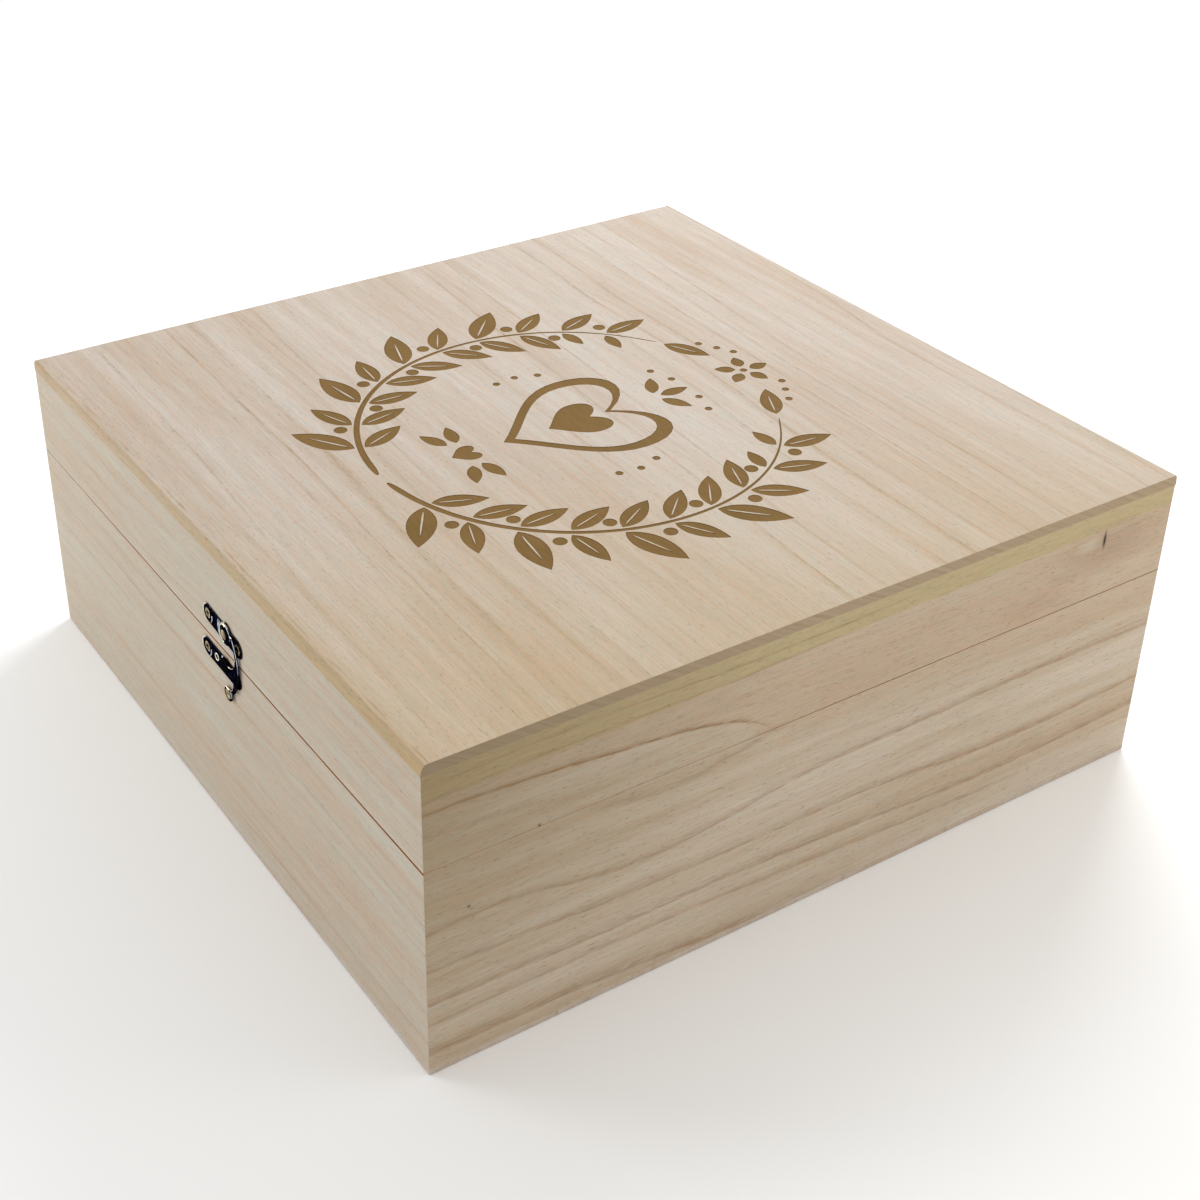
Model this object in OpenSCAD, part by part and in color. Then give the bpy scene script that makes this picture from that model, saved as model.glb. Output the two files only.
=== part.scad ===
// Keepsake box: a shallow square box of pale solid wood, mitred at the corners and
// sawn apart into a base and a lid. Two stop hinges join them at the back, and a
// swing hook on the lid meets a keeper on the base at the front.
// Frame: +Z up, -Y the front with the clasp, +X the right-hand side seen from the
// front. The origin is the middle of the underside of the base panel.

/* [Box] */
// Width of the box across the front
box_w = 310; // [240:1:360]
// Depth of the box from front to back
box_d = 316; // [240:1:360]
// Height of the closed box
box_h = 124; // [100:1:160]
// Height of the saw cut between base and lid above the table
seam_z = 84; // [60:0.5:90]
// Gap that the saw cut leaves between base and lid
seam_gap = 0.4; // [0.2:0.1:0.8]
// Thickness of the side, front and back boards
wall_t = 9; // [8:0.5:12]
// Thickness of the panel glued under the base
base_panel_t = 2.5; // [2:0.5:5]
// Thickness of the panel glued on the lid
lid_panel_t = 4; // [3:0.5:6]
// Radius sanded on the front edge of the lid panel
front_round_r = 3.8; // [1:0.1:5]
// Radius sanded on the back edge of the lid panel
back_round_r = 1; // [0.5:0.1:2]

/* [Clasp] */
// Distance of the hook's pivot to the right of the middle of the front
clasp_x = 21.6; // [-40:0.1:40]
// Height of the hook's pivot above the saw cut
pivot_rise = 9.3; // [8.5:0.1:11]
// Thickness of the two clasp plates
plate_t = 0.5; // [0.4:0.05:0.8]
// Height of the two clasp plates
plate_h = 7.7; // [7.4:0.1:8.4]
// Length of the latch plate on the lid
latch_plate_l = 30.5; // [29.5:0.5:34]
// Distance between the latch plate's screws
latch_screw_gap = 23.6; // [22:0.1:25]
// Distance of the latch plate's middle to the left of the pivot
latch_plate_shift = 3.6; // [2:0.1:4]
// Distance of the latch plate's middle below the pivot
latch_plate_drop = 0.9; // [0:0.1:1.5]
// Angle at which the latch plate was screwed on, its right end lower
latch_tilt = 5; // [0:0.5:6]
// Length of the keeper plate on the base
keeper_plate_l = 31; // [30:0.5:34]
// Distance between the keeper plate's screws
keeper_screw_gap = 23.2; // [22:0.1:24.5]
// Distance of the keeper plate's middle to the left of the pivot
keeper_plate_shift = 6.8; // [6:0.1:7.5]
// Distance of the keeper plate's middle below the saw cut
keeper_drop = 6.8; // [6.5:0.1:7.5]
// Angle at which the keeper plate was screwed on, its right end lower
keeper_tilt = 2; // [0:0.5:4]
// Distance of the keeper's button to the left of the pivot
button_shift = 2.3; // [2:0.1:2.6]
// Radius of the keeper's button
button_r = 2.8; // [2.6:0.1:3]
// Thickness of the cap over the slot in the keeper's button
button_cap_t = 0.45; // [0.4:0.05:0.8]

/* [Hook] */
// Thickness of the hook
hook_t = 0.75; // [0.6:0.05:1]
// Radius of the eye round the rivet
eye_r = 4.3; // [4:0.1:4.5]
// Radius of the rivet's shank
rivet_r = 1.25; // [1:0.05:1.5]
// Running clearance of the hook and of the hinge leaves on their pins
pin_clearance = 0.05; // [0.03:0.01:0.08]
// Radius of the rivet's domed head
rivet_head_r = 2.7; // [2.4:0.1:3.2]
// Height of the dome of the rivet's head
rivet_dome_h = 0.55; // [0.4:0.05:0.8]
// Height of the raised boss under the eye and of the gap under the hook
boss_h = 0.1; // [0.1:0.05:0.3]
// Radius of the outer edge of the hook's arm
arm_r = 20; // [19:0.5:22]
// Width of the arm
arm_w = 1.6; // [1.3:0.1:2]
// Distance of the arm's outermost point from the pivot
arm_side = 8.9; // [8.7:0.1:9.2]
// Radius of the round throat inside the hook
throat_r = 6.2; // [6:0.1:6.4]
// Depth of the throat's bottom below the pivot
throat_drop = 13.2; // [13:0.1:13.4]
// Radius of the round notch under the horn
notch_r = 4.9; // [4.7:0.1:5]
// Thickness of the horn at its tip
horn_w = 0.9; // [0.7:0.1:1]
// How far the horn reaches into the keeper's button
horn_hold = 1.5; // [1:0.1:1.6]
// Play above and below the horn in the keeper's slot
horn_play = 0.4; // [0.3:0.05:0.5]
// Radius of the finger lift at the hook's lower end
lift_r = 3; // [2.8:0.1:3.4]
// Depth of the finger lift's middle below the pivot
lift_drop = 26; // [25.6:0.1:26.4]

/* [Hinges] */
// Distance of each hinge's middle from the box's side
hinge_inset = 60; // [50:1:90]
// Length of each hinge along the pin
hinge_l = 26; // [22:1:36]
// Height of each leaf from the pin's axis
leaf_h = 15; // [13:0.5:18]
// Thickness of the leaves
leaf_t = 1; // [0.8:0.1:1.2]
// Outer radius of the rolled knuckles
knuckle_r = 2.1; // [1.8:0.1:2.4]
// Radius of the hinge pins
hinge_pin_r = 1; // [0.8:0.05:1.2]
// Side play between the knuckles
knuckle_gap = 0.2; // [0.1:0.05:0.4]
// Opening angle at which the stop tails meet the base leaves
stop_angle = 100; // [92:1:110]
// Reach of a stop tail from the pin's axis
stop_reach = 6.5; // [5:0.1:8]
// Distance between the two screws of a leaf
leaf_screw_gap = 16; // [12:0.5:17]

/* [Screws] */
// Radius of the countersunk screw heads
screw_head_r = 1.9; // [1.7:0.1:2.2]
// Radius of the screw shanks
screw_r = 1; // [0.8:0.05:1.2]
// Length of the screws
screw_l = 7; // [5:0.5:7]
// Width of the slots of the cross in the screw heads
cross_w = 0.5; // [0.4:0.1:0.7]
// Depth of the cross in the screw heads
cross_t = 0.4; // [0.3:0.1:0.5]

/* [Hidden] */
$fn = 64;
over = 1;                 // how far a cutter runs past the face that it cuts

// Heights of the parts of the box
base_top_z = seam_z - seam_gap / 2;
lid_bottom_z = seam_z + seam_gap / 2;
lid_panel_z = box_h - lid_panel_t;
front_y = -box_d / 2;
back_y = box_d / 2;

// The clasp, measured out from the front face
pivot_z = seam_z + pivot_rise;
hook_lift = plate_t + boss_h;
hook_top = hook_lift + hook_t;
rivet_gap = 0.05;         // play between the hook and the rivet's head
latch_plate_x = clasp_x - latch_plate_shift;
latch_plate_z = pivot_z - latch_plate_drop;
keeper_plate_x = clasp_x - keeper_plate_shift;
keeper_plate_z = seam_z - keeper_drop;

// The hook's outline, from its pivot
arm_c = [arm_side - arm_r, -throat_drop * 0.75];
throat_c = [0.5, throat_r - throat_drop];
horn_tip_x = button_r - button_shift - horn_hold;
notch_c = [-1.2, -throat_drop - horn_w + 0.2 - notch_r];
notch_low = notch_c[1] - notch_r;
lift_c = [-1.5, -lift_drop];

// The button, with its slot in line with the horn
button_x = clasp_x - button_shift;
button_z = pivot_z - throat_drop - 1.1;
button_edge = 0.25;       // bevel round the button's rim
slot_play = 0.1;          // gap under and over the horn, across the slot
slot_top = hook_top + slot_play;
button_top = slot_top + button_cap_t;
slot_h = horn_w + 2 * horn_play + 0.2;
slot_z = pivot_z - throat_drop - horn_w / 2;
slot_depth = 1.1;         // how far the slot runs past the button's middle

// The hinges, measured out from the back face
hinge_x = box_w / 2 - hinge_inset;
axis_y = back_y + knuckle_r;
knuckle_l = (hinge_l - 2 * knuckle_gap) / 3;
knuckle_room = knuckle_r + 0.3;       // gap in a leaf for the other leaf's knuckle
leaf_screw_z = (leaf_h + knuckle_room) / 2;
stop_play = 0.05;                     // gap between a stop tail and its leaf at the stop
tail_root = (hinge_pin_r + knuckle_r) / 2;  // where a stop tail starts in its knuckle's wall
pin_head_r = hinge_pin_r + 0.5;
pin_head_t = 0.6;

wood = "burlywood";
bronze = "dimgray";
brass = "darkgoldenrod";

// A board along +X with both ends mitred inwards, its outer face on y = 0
module mitred_board(length, z0, z1) {
    translate([0, 0, z0])
        linear_extrude(z1 - z0)
            polygon([
                [-length / 2, 0], [length / 2, 0],
                [length / 2 - wall_t, wall_t], [wall_t - length / 2, wall_t]
            ]);
}

module front_board(z0, z1) {
    translate([0, front_y, 0]) mitred_board(box_w, z0, z1);
}

module back_board(z0, z1) {
    rotate([0, 0, 180]) front_board(z0, z1);
}

module right_board(z0, z1) {
    translate([box_w / 2, 0, 0]) rotate([0, 0, 90]) mitred_board(box_d, z0, z1);
}

module left_board(z0, z1) {
    rotate([0, 0, 180]) right_board(z0, z1);
}

// What is cut from a panel's upper edge to round it, along +X with the edge on the axis
module round_cutter(r) {
    difference() {
        translate([-box_w / 2 - over, -over, -r]) cube([box_w + 2 * over, r + over, r + over]);
        translate([0, r, -r]) rotate([0, 90, 0]) cylinder(r = r, h = box_w + 4 * over, center = true);
    }
}

// A countersunk screw with its head's face on z = 0 and its point down
module screw_body() {
    head_t = screw_head_r - screw_r;
    point_l = 2 * screw_r;
    translate([0, 0, -head_t]) cylinder(r1 = screw_r, r2 = screw_head_r, h = head_t);
    translate([0, 0, point_l - screw_l]) cylinder(r = screw_r, h = screw_l - point_l - head_t);
    translate([0, 0, -screw_l]) cylinder(r1 = screw_r / 3, r2 = screw_r, h = point_l);
}

module screw() {
    difference() {
        screw_body();
        for (turn = [0, 90])
            rotate([0, 0, turn + 20])
                translate([-screw_head_r * 0.6, -cross_w / 2, -cross_t])
                    cube([screw_head_r * 1.2, cross_w, cross_t + over]);
    }
}

// Puts a flat shape drawn in X and Y on the front face, turned by tilt, at height h out from it
module on_front(x, z, h = 0, tilt = 0) {
    translate([x, front_y - h, z]) rotate([90, 0, 0]) rotate([0, 0, -tilt]) children();
}

// Puts a shape on the back face, with its +Z pointing out of the box
module on_back(x, z, h = 0) {
    translate([x, back_y + h, z]) rotate([-90, 0, 0]) children();
}

module latch_screw_places() {
    on_front(latch_plate_x, latch_plate_z, plate_t, latch_tilt)
        for (side = [-1, 1])
            translate([side * latch_screw_gap / 2, 0, 0]) children();
}

module keeper_screw_places() {
    on_front(keeper_plate_x, keeper_plate_z, plate_t, keeper_tilt)
        for (side = [-1, 1])
            translate([side * keeper_screw_gap / 2, 0, 0]) children();
}

// Both hinges' screws on one side of the seam: side is 1 for the lid and -1 for the base
module leaf_screw_places(side) {
    for (hinge = [-1, 1], end = [-1, 1])
        on_back(hinge * hinge_x + end * leaf_screw_gap / 2, seam_z + side * leaf_screw_z, leaf_t)
            children();
}

module base_panel() {
    color(wood)
        translate([-box_w / 2, -box_d / 2, 0]) cube([box_w, box_d, base_panel_t]);
}

module base_front_board() {
    color(wood)
        difference() {
            front_board(base_panel_t, base_top_z);
            keeper_screw_places() screw_body();
        }
}

module base_back_board() {
    color(wood)
        difference() {
            back_board(base_panel_t, base_top_z);
            leaf_screw_places(-1) screw_body();
        }
}

module base_left_board() {
    color(wood) left_board(base_panel_t, base_top_z);
}

module base_right_board() {
    color(wood) right_board(base_panel_t, base_top_z);
}

module lid_panel() {
    color(wood)
        difference() {
            translate([-box_w / 2, front_y, lid_panel_z]) cube([box_w, box_d, lid_panel_t]);
            translate([0, front_y, box_h]) round_cutter(min(front_round_r, lid_panel_t - 0.2));
            translate([0, back_y, box_h]) rotate([0, 0, 180]) round_cutter(back_round_r);
        }
}

module lid_front_board() {
    color(wood)
        difference() {
            front_board(lid_bottom_z, lid_panel_z);
            latch_screw_places() screw_body();
        }
}

module lid_back_board() {
    color(wood)
        difference() {
            back_board(lid_bottom_z, lid_panel_z);
            leaf_screw_places(1) screw_body();
        }
}

module lid_left_board() {
    color(wood) left_board(lid_bottom_z, lid_panel_z);
}

module lid_right_board() {
    color(wood) right_board(lid_bottom_z, lid_panel_z);
}

// A plate with round ends, lying on z = 0
module stadium_plate(length) {
    linear_extrude(plate_t) {
        square([length - plate_h, plate_h], center = true);
        for (side = [-1, 1])
            translate([side * (length - plate_h) / 2, 0]) circle(d = plate_h);
    }
}

module latch_plate() {
    color(bronze)
        difference() {
            union() {
                on_front(latch_plate_x, latch_plate_z, 0, latch_tilt) stadium_plate(latch_plate_l);
                on_front(clasp_x, pivot_z) cylinder(r = eye_r, h = hook_lift);
            }
            latch_screw_places() screw_body();
            on_front(clasp_x, pivot_z, -over) cylinder(r = rivet_r, h = hook_top + over);
        }
}

module latch_screws() {
    color(brass) latch_screw_places() screw();
}

// The rivet, from the back of the latch plate to its domed head
module latch_rivet() {
    dome_r = (rivet_head_r * rivet_head_r + rivet_dome_h * rivet_dome_h) / (2 * rivet_dome_h);
    head_z = hook_top + rivet_gap;
    color(brass)
        on_front(clasp_x, pivot_z) {
            cylinder(r = rivet_r, h = head_z);
            intersection() {
                translate([0, 0, head_z + rivet_dome_h - dome_r]) sphere(r = dome_r);
                translate([0, 0, head_z]) cylinder(r = rivet_head_r + over, h = dome_r);
            }
        }
}

// The arm: a narrow strap that curves from the eye down the right-hand side
module hook_arm() {
    intersection() {
        difference() {
            translate(arm_c) circle(r = arm_r);
            translate(arm_c) circle(r = arm_r - arm_w);
        }
        translate([0, -throat_drop]) square([arm_r, throat_drop + eye_r / 3]);
    }
}

// The wide part below the arm, left between the throat and the notch
module hook_body() {
    intersection() {
        translate(arm_c) circle(r = arm_r);
        translate([horn_tip_x, notch_low]) square([arm_r, throat_c[1] - notch_low]);
    }
}

module latch_hook() {
    color(bronze)
        on_front(clasp_x, pivot_z, hook_lift)
            difference() {
                linear_extrude(hook_t) {
                    circle(r = eye_r);
                    hook_arm();
                    difference() {
                        union() {
                            hook_body();
                            translate(lift_c) circle(r = lift_r);
                        }
                        translate(throat_c) circle(r = throat_r);
                        translate(notch_c) circle(r = notch_r);
                    }
                }
                translate([0, 0, -over]) cylinder(r = rivet_r + pin_clearance, h = hook_t + 2 * over);
            }
}

module keeper_plate() {
    color(bronze)
        difference() {
            on_front(keeper_plate_x, keeper_plate_z, 0, keeper_tilt) stadium_plate(keeper_plate_l);
            keeper_screw_places() screw_body();
        }
}

// The button on the keeper plate, with a slot in its right-hand side for the horn
module keeper_button() {
    color(bronze)
        difference() {
            on_front(button_x, button_z, plate_t) {
                cylinder(r = button_r, h = button_top - plate_t - button_edge);
                translate([0, 0, button_top - plate_t - button_edge])
                    cylinder(r1 = button_r, r2 = button_r - button_edge, h = button_edge);
            }
            on_front(button_x, slot_z, hook_lift - slot_play)
                translate([-slot_depth, -slot_h / 2, 0])
                    cube([slot_depth + button_r + over, slot_h, hook_t + 2 * slot_play]);
        }
}

module keeper_screws() {
    color(brass) keeper_screw_places() screw();
}

// A rolled knuckle along X round the pin's axis
module knuckle(x, length) {
    translate([x - length / 2, 0, 0]) rotate([0, 90, 0]) cylinder(r = knuckle_r, h = length);
}

// A leaf's plate above the pin's axis, drawn round that axis
module leaf_plate() {
    translate([-hinge_l / 2, -knuckle_r, 0]) cube([hinge_l, leaf_t, leaf_h]);
}

module pin_hole(r) {
    rotate([0, 90, 0]) cylinder(r = r, h = hinge_l + 2 * over, center = true);
}

// The leaf on the base, with the two outer knuckles
module base_leaf(side) {
    outer_x = knuckle_l + knuckle_gap;
    color(bronze)
        difference() {
            translate([side * hinge_x, axis_y, seam_z])
                difference() {
                    union() {
                        mirror([0, 0, 1]) leaf_plate();
                        knuckle(-outer_x, knuckle_l);
                        knuckle(outer_x, knuckle_l);
                    }
                    translate([-knuckle_l / 2 - knuckle_gap, -knuckle_r - over, -knuckle_room])
                        cube([knuckle_l + 2 * knuckle_gap, 2 * knuckle_r + 2 * over, 2 * knuckle_room]);
                    pin_hole(hinge_pin_r);
                }
            leaf_screw_places(-1) screw_body();
        }
}

// The leaf on the lid, with the middle knuckle and the stop tail
module lid_leaf(side) {
    color(bronze)
        difference() {
            translate([side * hinge_x, axis_y, seam_z])
                difference() {
                    union() {
                        difference() {
                            leaf_plate();
                            for (end = [-1, 1])
                                translate([end * hinge_l / 2, 0, 0])
                                    cube([
                                        2 * (knuckle_l + knuckle_gap), 4 * knuckle_r, 2 * knuckle_room
                                    ], center = true);
                        }
                        knuckle(0, knuckle_l);
                        rotate([stop_angle, 0, 0])
                            translate([-knuckle_l / 2, leaf_t + stop_play - knuckle_r, -stop_reach])
                                cube([knuckle_l, leaf_t, stop_reach - tail_root]);
                    }
                    pin_hole(hinge_pin_r + pin_clearance);
                }
            leaf_screw_places(1) screw_body();
        }
}

module hinge_pin(side) {
    color(brass)
        translate([side * hinge_x, axis_y, seam_z])
            rotate([0, 90, 0]) {
                cylinder(r = hinge_pin_r, h = hinge_l, center = true);
                for (end = [-1, 1])
                    translate([0, 0, end * (hinge_l + pin_head_t) / 2])
                        cylinder(r = pin_head_r, h = pin_head_t, center = true);
            }
}

module hinge_left_base_leaf() {
    base_leaf(-1);
}

module hinge_left_lid_leaf() {
    lid_leaf(-1);
}

module hinge_left_pin() {
    hinge_pin(-1);
}

module hinge_right_base_leaf() {
    base_leaf(1);
}

module hinge_right_lid_leaf() {
    lid_leaf(1);
}

module hinge_right_pin() {
    hinge_pin(1);
}

module hinge_base_screws() {
    color(brass) leaf_screw_places(-1) screw();
}

module hinge_lid_screws() {
    color(brass) leaf_screw_places(1) screw();
}

base_panel();
base_front_board();
base_back_board();
base_left_board();
base_right_board();
lid_panel();
lid_front_board();
lid_back_board();
lid_left_board();
lid_right_board();
latch_plate();
latch_screws();
latch_rivet();
latch_hook();
keeper_plate();
keeper_button();
keeper_screws();
hinge_left_base_leaf();
hinge_left_lid_leaf();
hinge_left_pin();
hinge_right_base_leaf();
hinge_right_lid_leaf();
hinge_right_pin();
hinge_base_screws();
hinge_lid_screws();
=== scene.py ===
"""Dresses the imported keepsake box: pale sanded boards, an engraved lid and an antique clasp."""
import logging
import math
from dataclasses import dataclass
from enum import Enum
from typing import Any, Callable, Optional, Sequence

import bpy
from mathutils import Matrix, Vector


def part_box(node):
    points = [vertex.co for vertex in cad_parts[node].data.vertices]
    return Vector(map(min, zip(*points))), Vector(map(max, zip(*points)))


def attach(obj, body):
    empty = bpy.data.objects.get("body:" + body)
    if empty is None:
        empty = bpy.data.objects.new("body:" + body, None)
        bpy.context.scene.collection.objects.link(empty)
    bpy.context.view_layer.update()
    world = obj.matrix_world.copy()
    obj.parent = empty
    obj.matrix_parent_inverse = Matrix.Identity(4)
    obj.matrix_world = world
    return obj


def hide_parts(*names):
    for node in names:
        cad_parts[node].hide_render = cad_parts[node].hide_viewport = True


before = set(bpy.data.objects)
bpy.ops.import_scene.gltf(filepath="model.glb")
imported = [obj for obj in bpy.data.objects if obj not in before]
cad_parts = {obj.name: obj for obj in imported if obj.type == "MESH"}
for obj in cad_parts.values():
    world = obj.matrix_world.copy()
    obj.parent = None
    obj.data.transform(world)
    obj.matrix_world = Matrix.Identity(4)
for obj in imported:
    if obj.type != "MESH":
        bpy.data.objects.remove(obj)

LOG = logging.getLogger("keepsake_box")
MM = 0.001
# The box's front and top face, half its width and its depth in mm, for patterns drawn on them.
FRONT_MM = -158.0
TOP_MM = 124.0
HALF_WIDTH_MM = 155.0
DEPTH_MM = 316.0
# Vertices of a CAD mesh closer than this are one, and faces that meet flatter are one.
MERGE_GAP = 0.002 * MM
MERGE_ANGLE = math.radians(0.5)
# A test on an edge, given as its two ends, or on a face, given as its centre and normal.
PairTest = Callable[[tuple[Vector, Vector]], bool]


class Side(Enum):
    """The four upright sides of the box, each with its outward normal in X and Y."""

    FRONT = (0, -1)
    RIGHT = (1, 0)
    BACK = (0, 1)
    LEFT = (-1, 0)


class Grain(Enum):
    """Which object axes run along the grain, across it and into the board."""

    ALONG_X_UPRIGHT = ("X", "Z", "Y")
    ALONG_Y_UPRIGHT = ("Y", "Z", "X")
    ALONG_X_FLAT = ("X", "Y", "Z")
    END_OF_X = ("Z", "Y", "X")


# ---------------------------------------------------------------- small tools


def linear(code: str) -> tuple[float, float, float, float]:
    """Turns an sRGB hex colour into linear light.

    Args:
        code: A colour such as "#d9c8b2".

    Returns:
        Red, green, blue and an alpha of 1.
    """
    parts = [int(code[i : i + 2], 16) / 255 for i in (1, 3, 5)]
    light = [c / 12.92 if c <= 0.04045 else ((c + 0.055) / 1.055) ** 2.4 for c in parts]
    return (light[0], light[1], light[2], 1.0)


def feed(tree: bpy.types.NodeTree, node: bpy.types.Node, links: dict[Any, Any]) -> None:
    """Links or sets the inputs of a shader node.

    Args:
        tree: The node tree.
        node: The node.
        links: Input names or numbers, each with a node, an output socket, a hex colour or a value.
    """
    for key, value in links.items():
        if isinstance(value, bpy.types.Node):
            value = next(o for o in value.outputs if o.enabled)
        if isinstance(value, bpy.types.NodeSocket):
            tree.links.new(value, node.inputs[key])
        else:
            node.inputs[key].default_value = linear(value) if isinstance(value, str) else value


def add(
    tree: bpy.types.NodeTree, kind: str, links: Optional[dict[Any, Any]] = None, **settings: Any
) -> bpy.types.Node:
    """Adds one shader node with its settings, values and links.

    Args:
        tree: The node tree.
        kind: The node's type name without "ShaderNode".
        links: What its inputs get, as feed() takes it.
        settings: Properties of the node itself.

    Returns:
        The new node.
    """
    node = tree.nodes.new("ShaderNode" + kind)
    for name, value in settings.items():
        setattr(node, name, value)
    feed(tree, node, links or {})
    return node


def new_material(name: str) -> tuple[bpy.types.Material, bpy.types.NodeTree, bpy.types.Node]:
    """Makes a material.

    Args:
        name: Its name.

    Returns:
        The material, its node tree and its Principled shader.
    """
    material = bpy.data.materials.new(name)
    material.use_nodes = True
    tree = material.node_tree
    return material, tree, tree.nodes["Principled BSDF"]


def deselect() -> None:
    """Leaves nothing selected and nothing in edit mode."""
    if bpy.context.object is not None and bpy.context.object.mode != "OBJECT":
        bpy.ops.object.mode_set(mode="OBJECT")
    bpy.ops.object.select_all(action="DESELECT")


def activate(piece: bpy.types.Object) -> None:
    """Makes a piece the only selected and active object.

    Args:
        piece: The piece.
    """
    deselect()
    piece.select_set(True)
    bpy.context.view_layer.objects.active = piece


def edit_all(piece: bpy.types.Object) -> None:
    """Opens a piece in edit mode with its whole mesh selected.

    Args:
        piece: The piece.
    """
    activate(piece)
    bpy.ops.object.mode_set(mode="EDIT")
    bpy.ops.mesh.select_all(action="SELECT")


def pick(
    piece: bpy.types.Object,
    verts: Optional[Callable[[Vector], bool]] = None,
    edges: Optional[PairTest] = None,
) -> None:
    """Selects parts of a mesh by a test, and leaves the piece in edit mode.

    Args:
        piece: The piece, whose transform is already applied.
        verts: A test on a vertex, given as its place.
        edges: A test on an edge, given as the pair of its ends.
    """
    activate(piece)
    bpy.ops.object.mode_set(mode="EDIT")
    bpy.ops.mesh.select_mode(type="VERT" if verts else "EDGE")
    bpy.ops.mesh.select_all(action="DESELECT")
    bpy.ops.object.mode_set(mode="OBJECT")
    mesh = piece.data
    for vertex in mesh.vertices if verts else ():
        vertex.select = verts(vertex.co)
    for edge in mesh.edges if edges else ():
        first, second = (mesh.vertices[i].co for i in edge.vertices)
        edge.select = edges((first, second))
    bpy.ops.object.mode_set(mode="EDIT")


def round_edges(piece: bpy.types.Object, width: float, segments: int, test: PairTest) -> None:
    """Bevels the edges of a piece that pass a test.

    Args:
        piece: The piece.
        width: Width of the bevel in metres.
        segments: Steps across the bevel.
        test: A test on an edge, given as the pair of its ends.
    """
    pick(piece, edges=test)
    bpy.ops.mesh.bevel(offset=width, segments=segments, affect="EDGES")
    deselect()


def trim(piece: bpy.types.Object, spot: Vector, way: Vector) -> None:
    """Cuts off what lies past a plane, and closes the cut.

    Args:
        piece: The piece.
        spot: A point on the plane.
        way: The plane's normal, towards what is cut off.
    """
    edit_all(piece)
    bpy.ops.mesh.bisect(plane_co=spot, plane_no=way, use_fill=True, clear_outer=True)
    deselect()


def settle(piece: bpy.types.Object) -> None:
    """Moves a piece's place, turn and scale into its mesh."""
    activate(piece)
    bpy.ops.object.transform_apply(location=True, rotation=True, scale=True)


def apply_modifier(piece: bpy.types.Object, kind: str, **settings: Any) -> None:
    """Adds one modifier to a piece and applies it.

    Args:
        piece: The piece.
        kind: The modifier's type.
        settings: Properties of the modifier.
    """
    activate(piece)
    modifier = piece.modifiers.new(kind.lower(), kind)
    for name, value in settings.items():
        setattr(modifier, name, value)
    bpy.ops.object.modifier_apply(modifier=modifier.name)


def cut_out(piece: bpy.types.Object, cutter: bpy.types.Object) -> None:
    """Cuts a cutter out of a piece and removes it; the cut faces keep the cutter's finish.

    Args:
        piece: The piece.
        cutter: The cutter, dressed in one of the piece's finishes.
    """
    apply_modifier(
        piece,
        "BOOLEAN",
        object=cutter,
        operation="DIFFERENCE",
        solver="EXACT",
        material_mode="TRANSFER",
    )
    bpy.data.objects.remove(cutter)


def new_object(name: str, data: bpy.types.ID) -> bpy.types.Object:
    """Makes an object of a mesh, curve, light or camera, and links it to the scene.

    Args:
        name: The object's name.
        data: What it shows.

    Returns:
        The object.
    """
    thing = bpy.data.objects.new(name, data)
    bpy.context.scene.collection.objects.link(thing)
    return thing


def block(name: str, low: Vector, high: Vector) -> bpy.types.Object:
    """Adds a block between two corners, with its place in its mesh.

    Args:
        name: The object's name.
        low: The lowest corner.
        high: The highest corner.

    Returns:
        The block.
    """
    deselect()
    bpy.ops.mesh.primitive_cube_add(size=1, location=(low + high) / 2, scale=high - low)
    piece = bpy.context.object
    piece.name = piece.data.name = name
    settle(piece)
    return piece


def join(name: str, pieces: Sequence[bpy.types.Object]) -> bpy.types.Object:
    """Joins objects into the first of them.

    Args:
        name: The joined piece's name.
        pieces: At least two objects.

    Returns:
        The joined piece.
    """
    deselect()
    for piece in pieces:
        piece.select_set(True)
    bpy.context.view_layer.objects.active = pieces[0]
    bpy.ops.object.join()
    pieces[0].name = pieces[0].data.name = name
    return pieces[0]


def copy_of(piece: bpy.types.Object, name: str, matrix: Matrix) -> bpy.types.Object:
    """Copies a piece with its own mesh.

    Args:
        piece: The piece to copy.
        name: The copy's name.
        matrix: Moves, turns or mirrors the copy inside its mesh.

    Returns:
        The copy.
    """
    twin = new_object(name, piece.data.copy())
    twin.data.name = name
    twin.data.transform(matrix)
    if matrix.determinant() < 0:
        twin.data.flip_normals()
    return twin


def merged_copy(node: str, name: str) -> bpy.types.Object:
    """Copies a CAD node as a piece of its own, with its loose triangles merged into whole faces.

    Args:
        node: The CAD node.
        name: The new piece's name.

    Returns:
        The new piece.
    """
    piece = new_object(name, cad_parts[node].data.copy())
    piece.data.name = name
    piece.data.materials.clear()
    activate(piece)
    if piece.data.has_custom_normals:
        bpy.ops.mesh.customdata_custom_splitnormals_clear()
    edit_all(piece)
    bpy.ops.mesh.mark_sharp(clear=True)
    bpy.ops.mesh.remove_doubles(threshold=MERGE_GAP)
    bpy.ops.mesh.dissolve_limited(angle_limit=MERGE_ANGLE)
    bpy.ops.mesh.normals_make_consistent(inside=False)
    deselect()
    return piece


def dress(piece: bpy.types.Object, *materials: bpy.types.Material) -> None:
    """Gives a piece its materials; which face has which slot stays as it is.

    Args:
        piece: The piece.
        materials: The materials in slot order.
    """
    indices = [face.material_index for face in piece.data.polygons]
    piece.data.materials.clear()
    for material in materials:
        piece.data.materials.append(material)
    for face, index in zip(piece.data.polygons, indices):
        face.material_index = min(index, len(materials) - 1)


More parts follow.
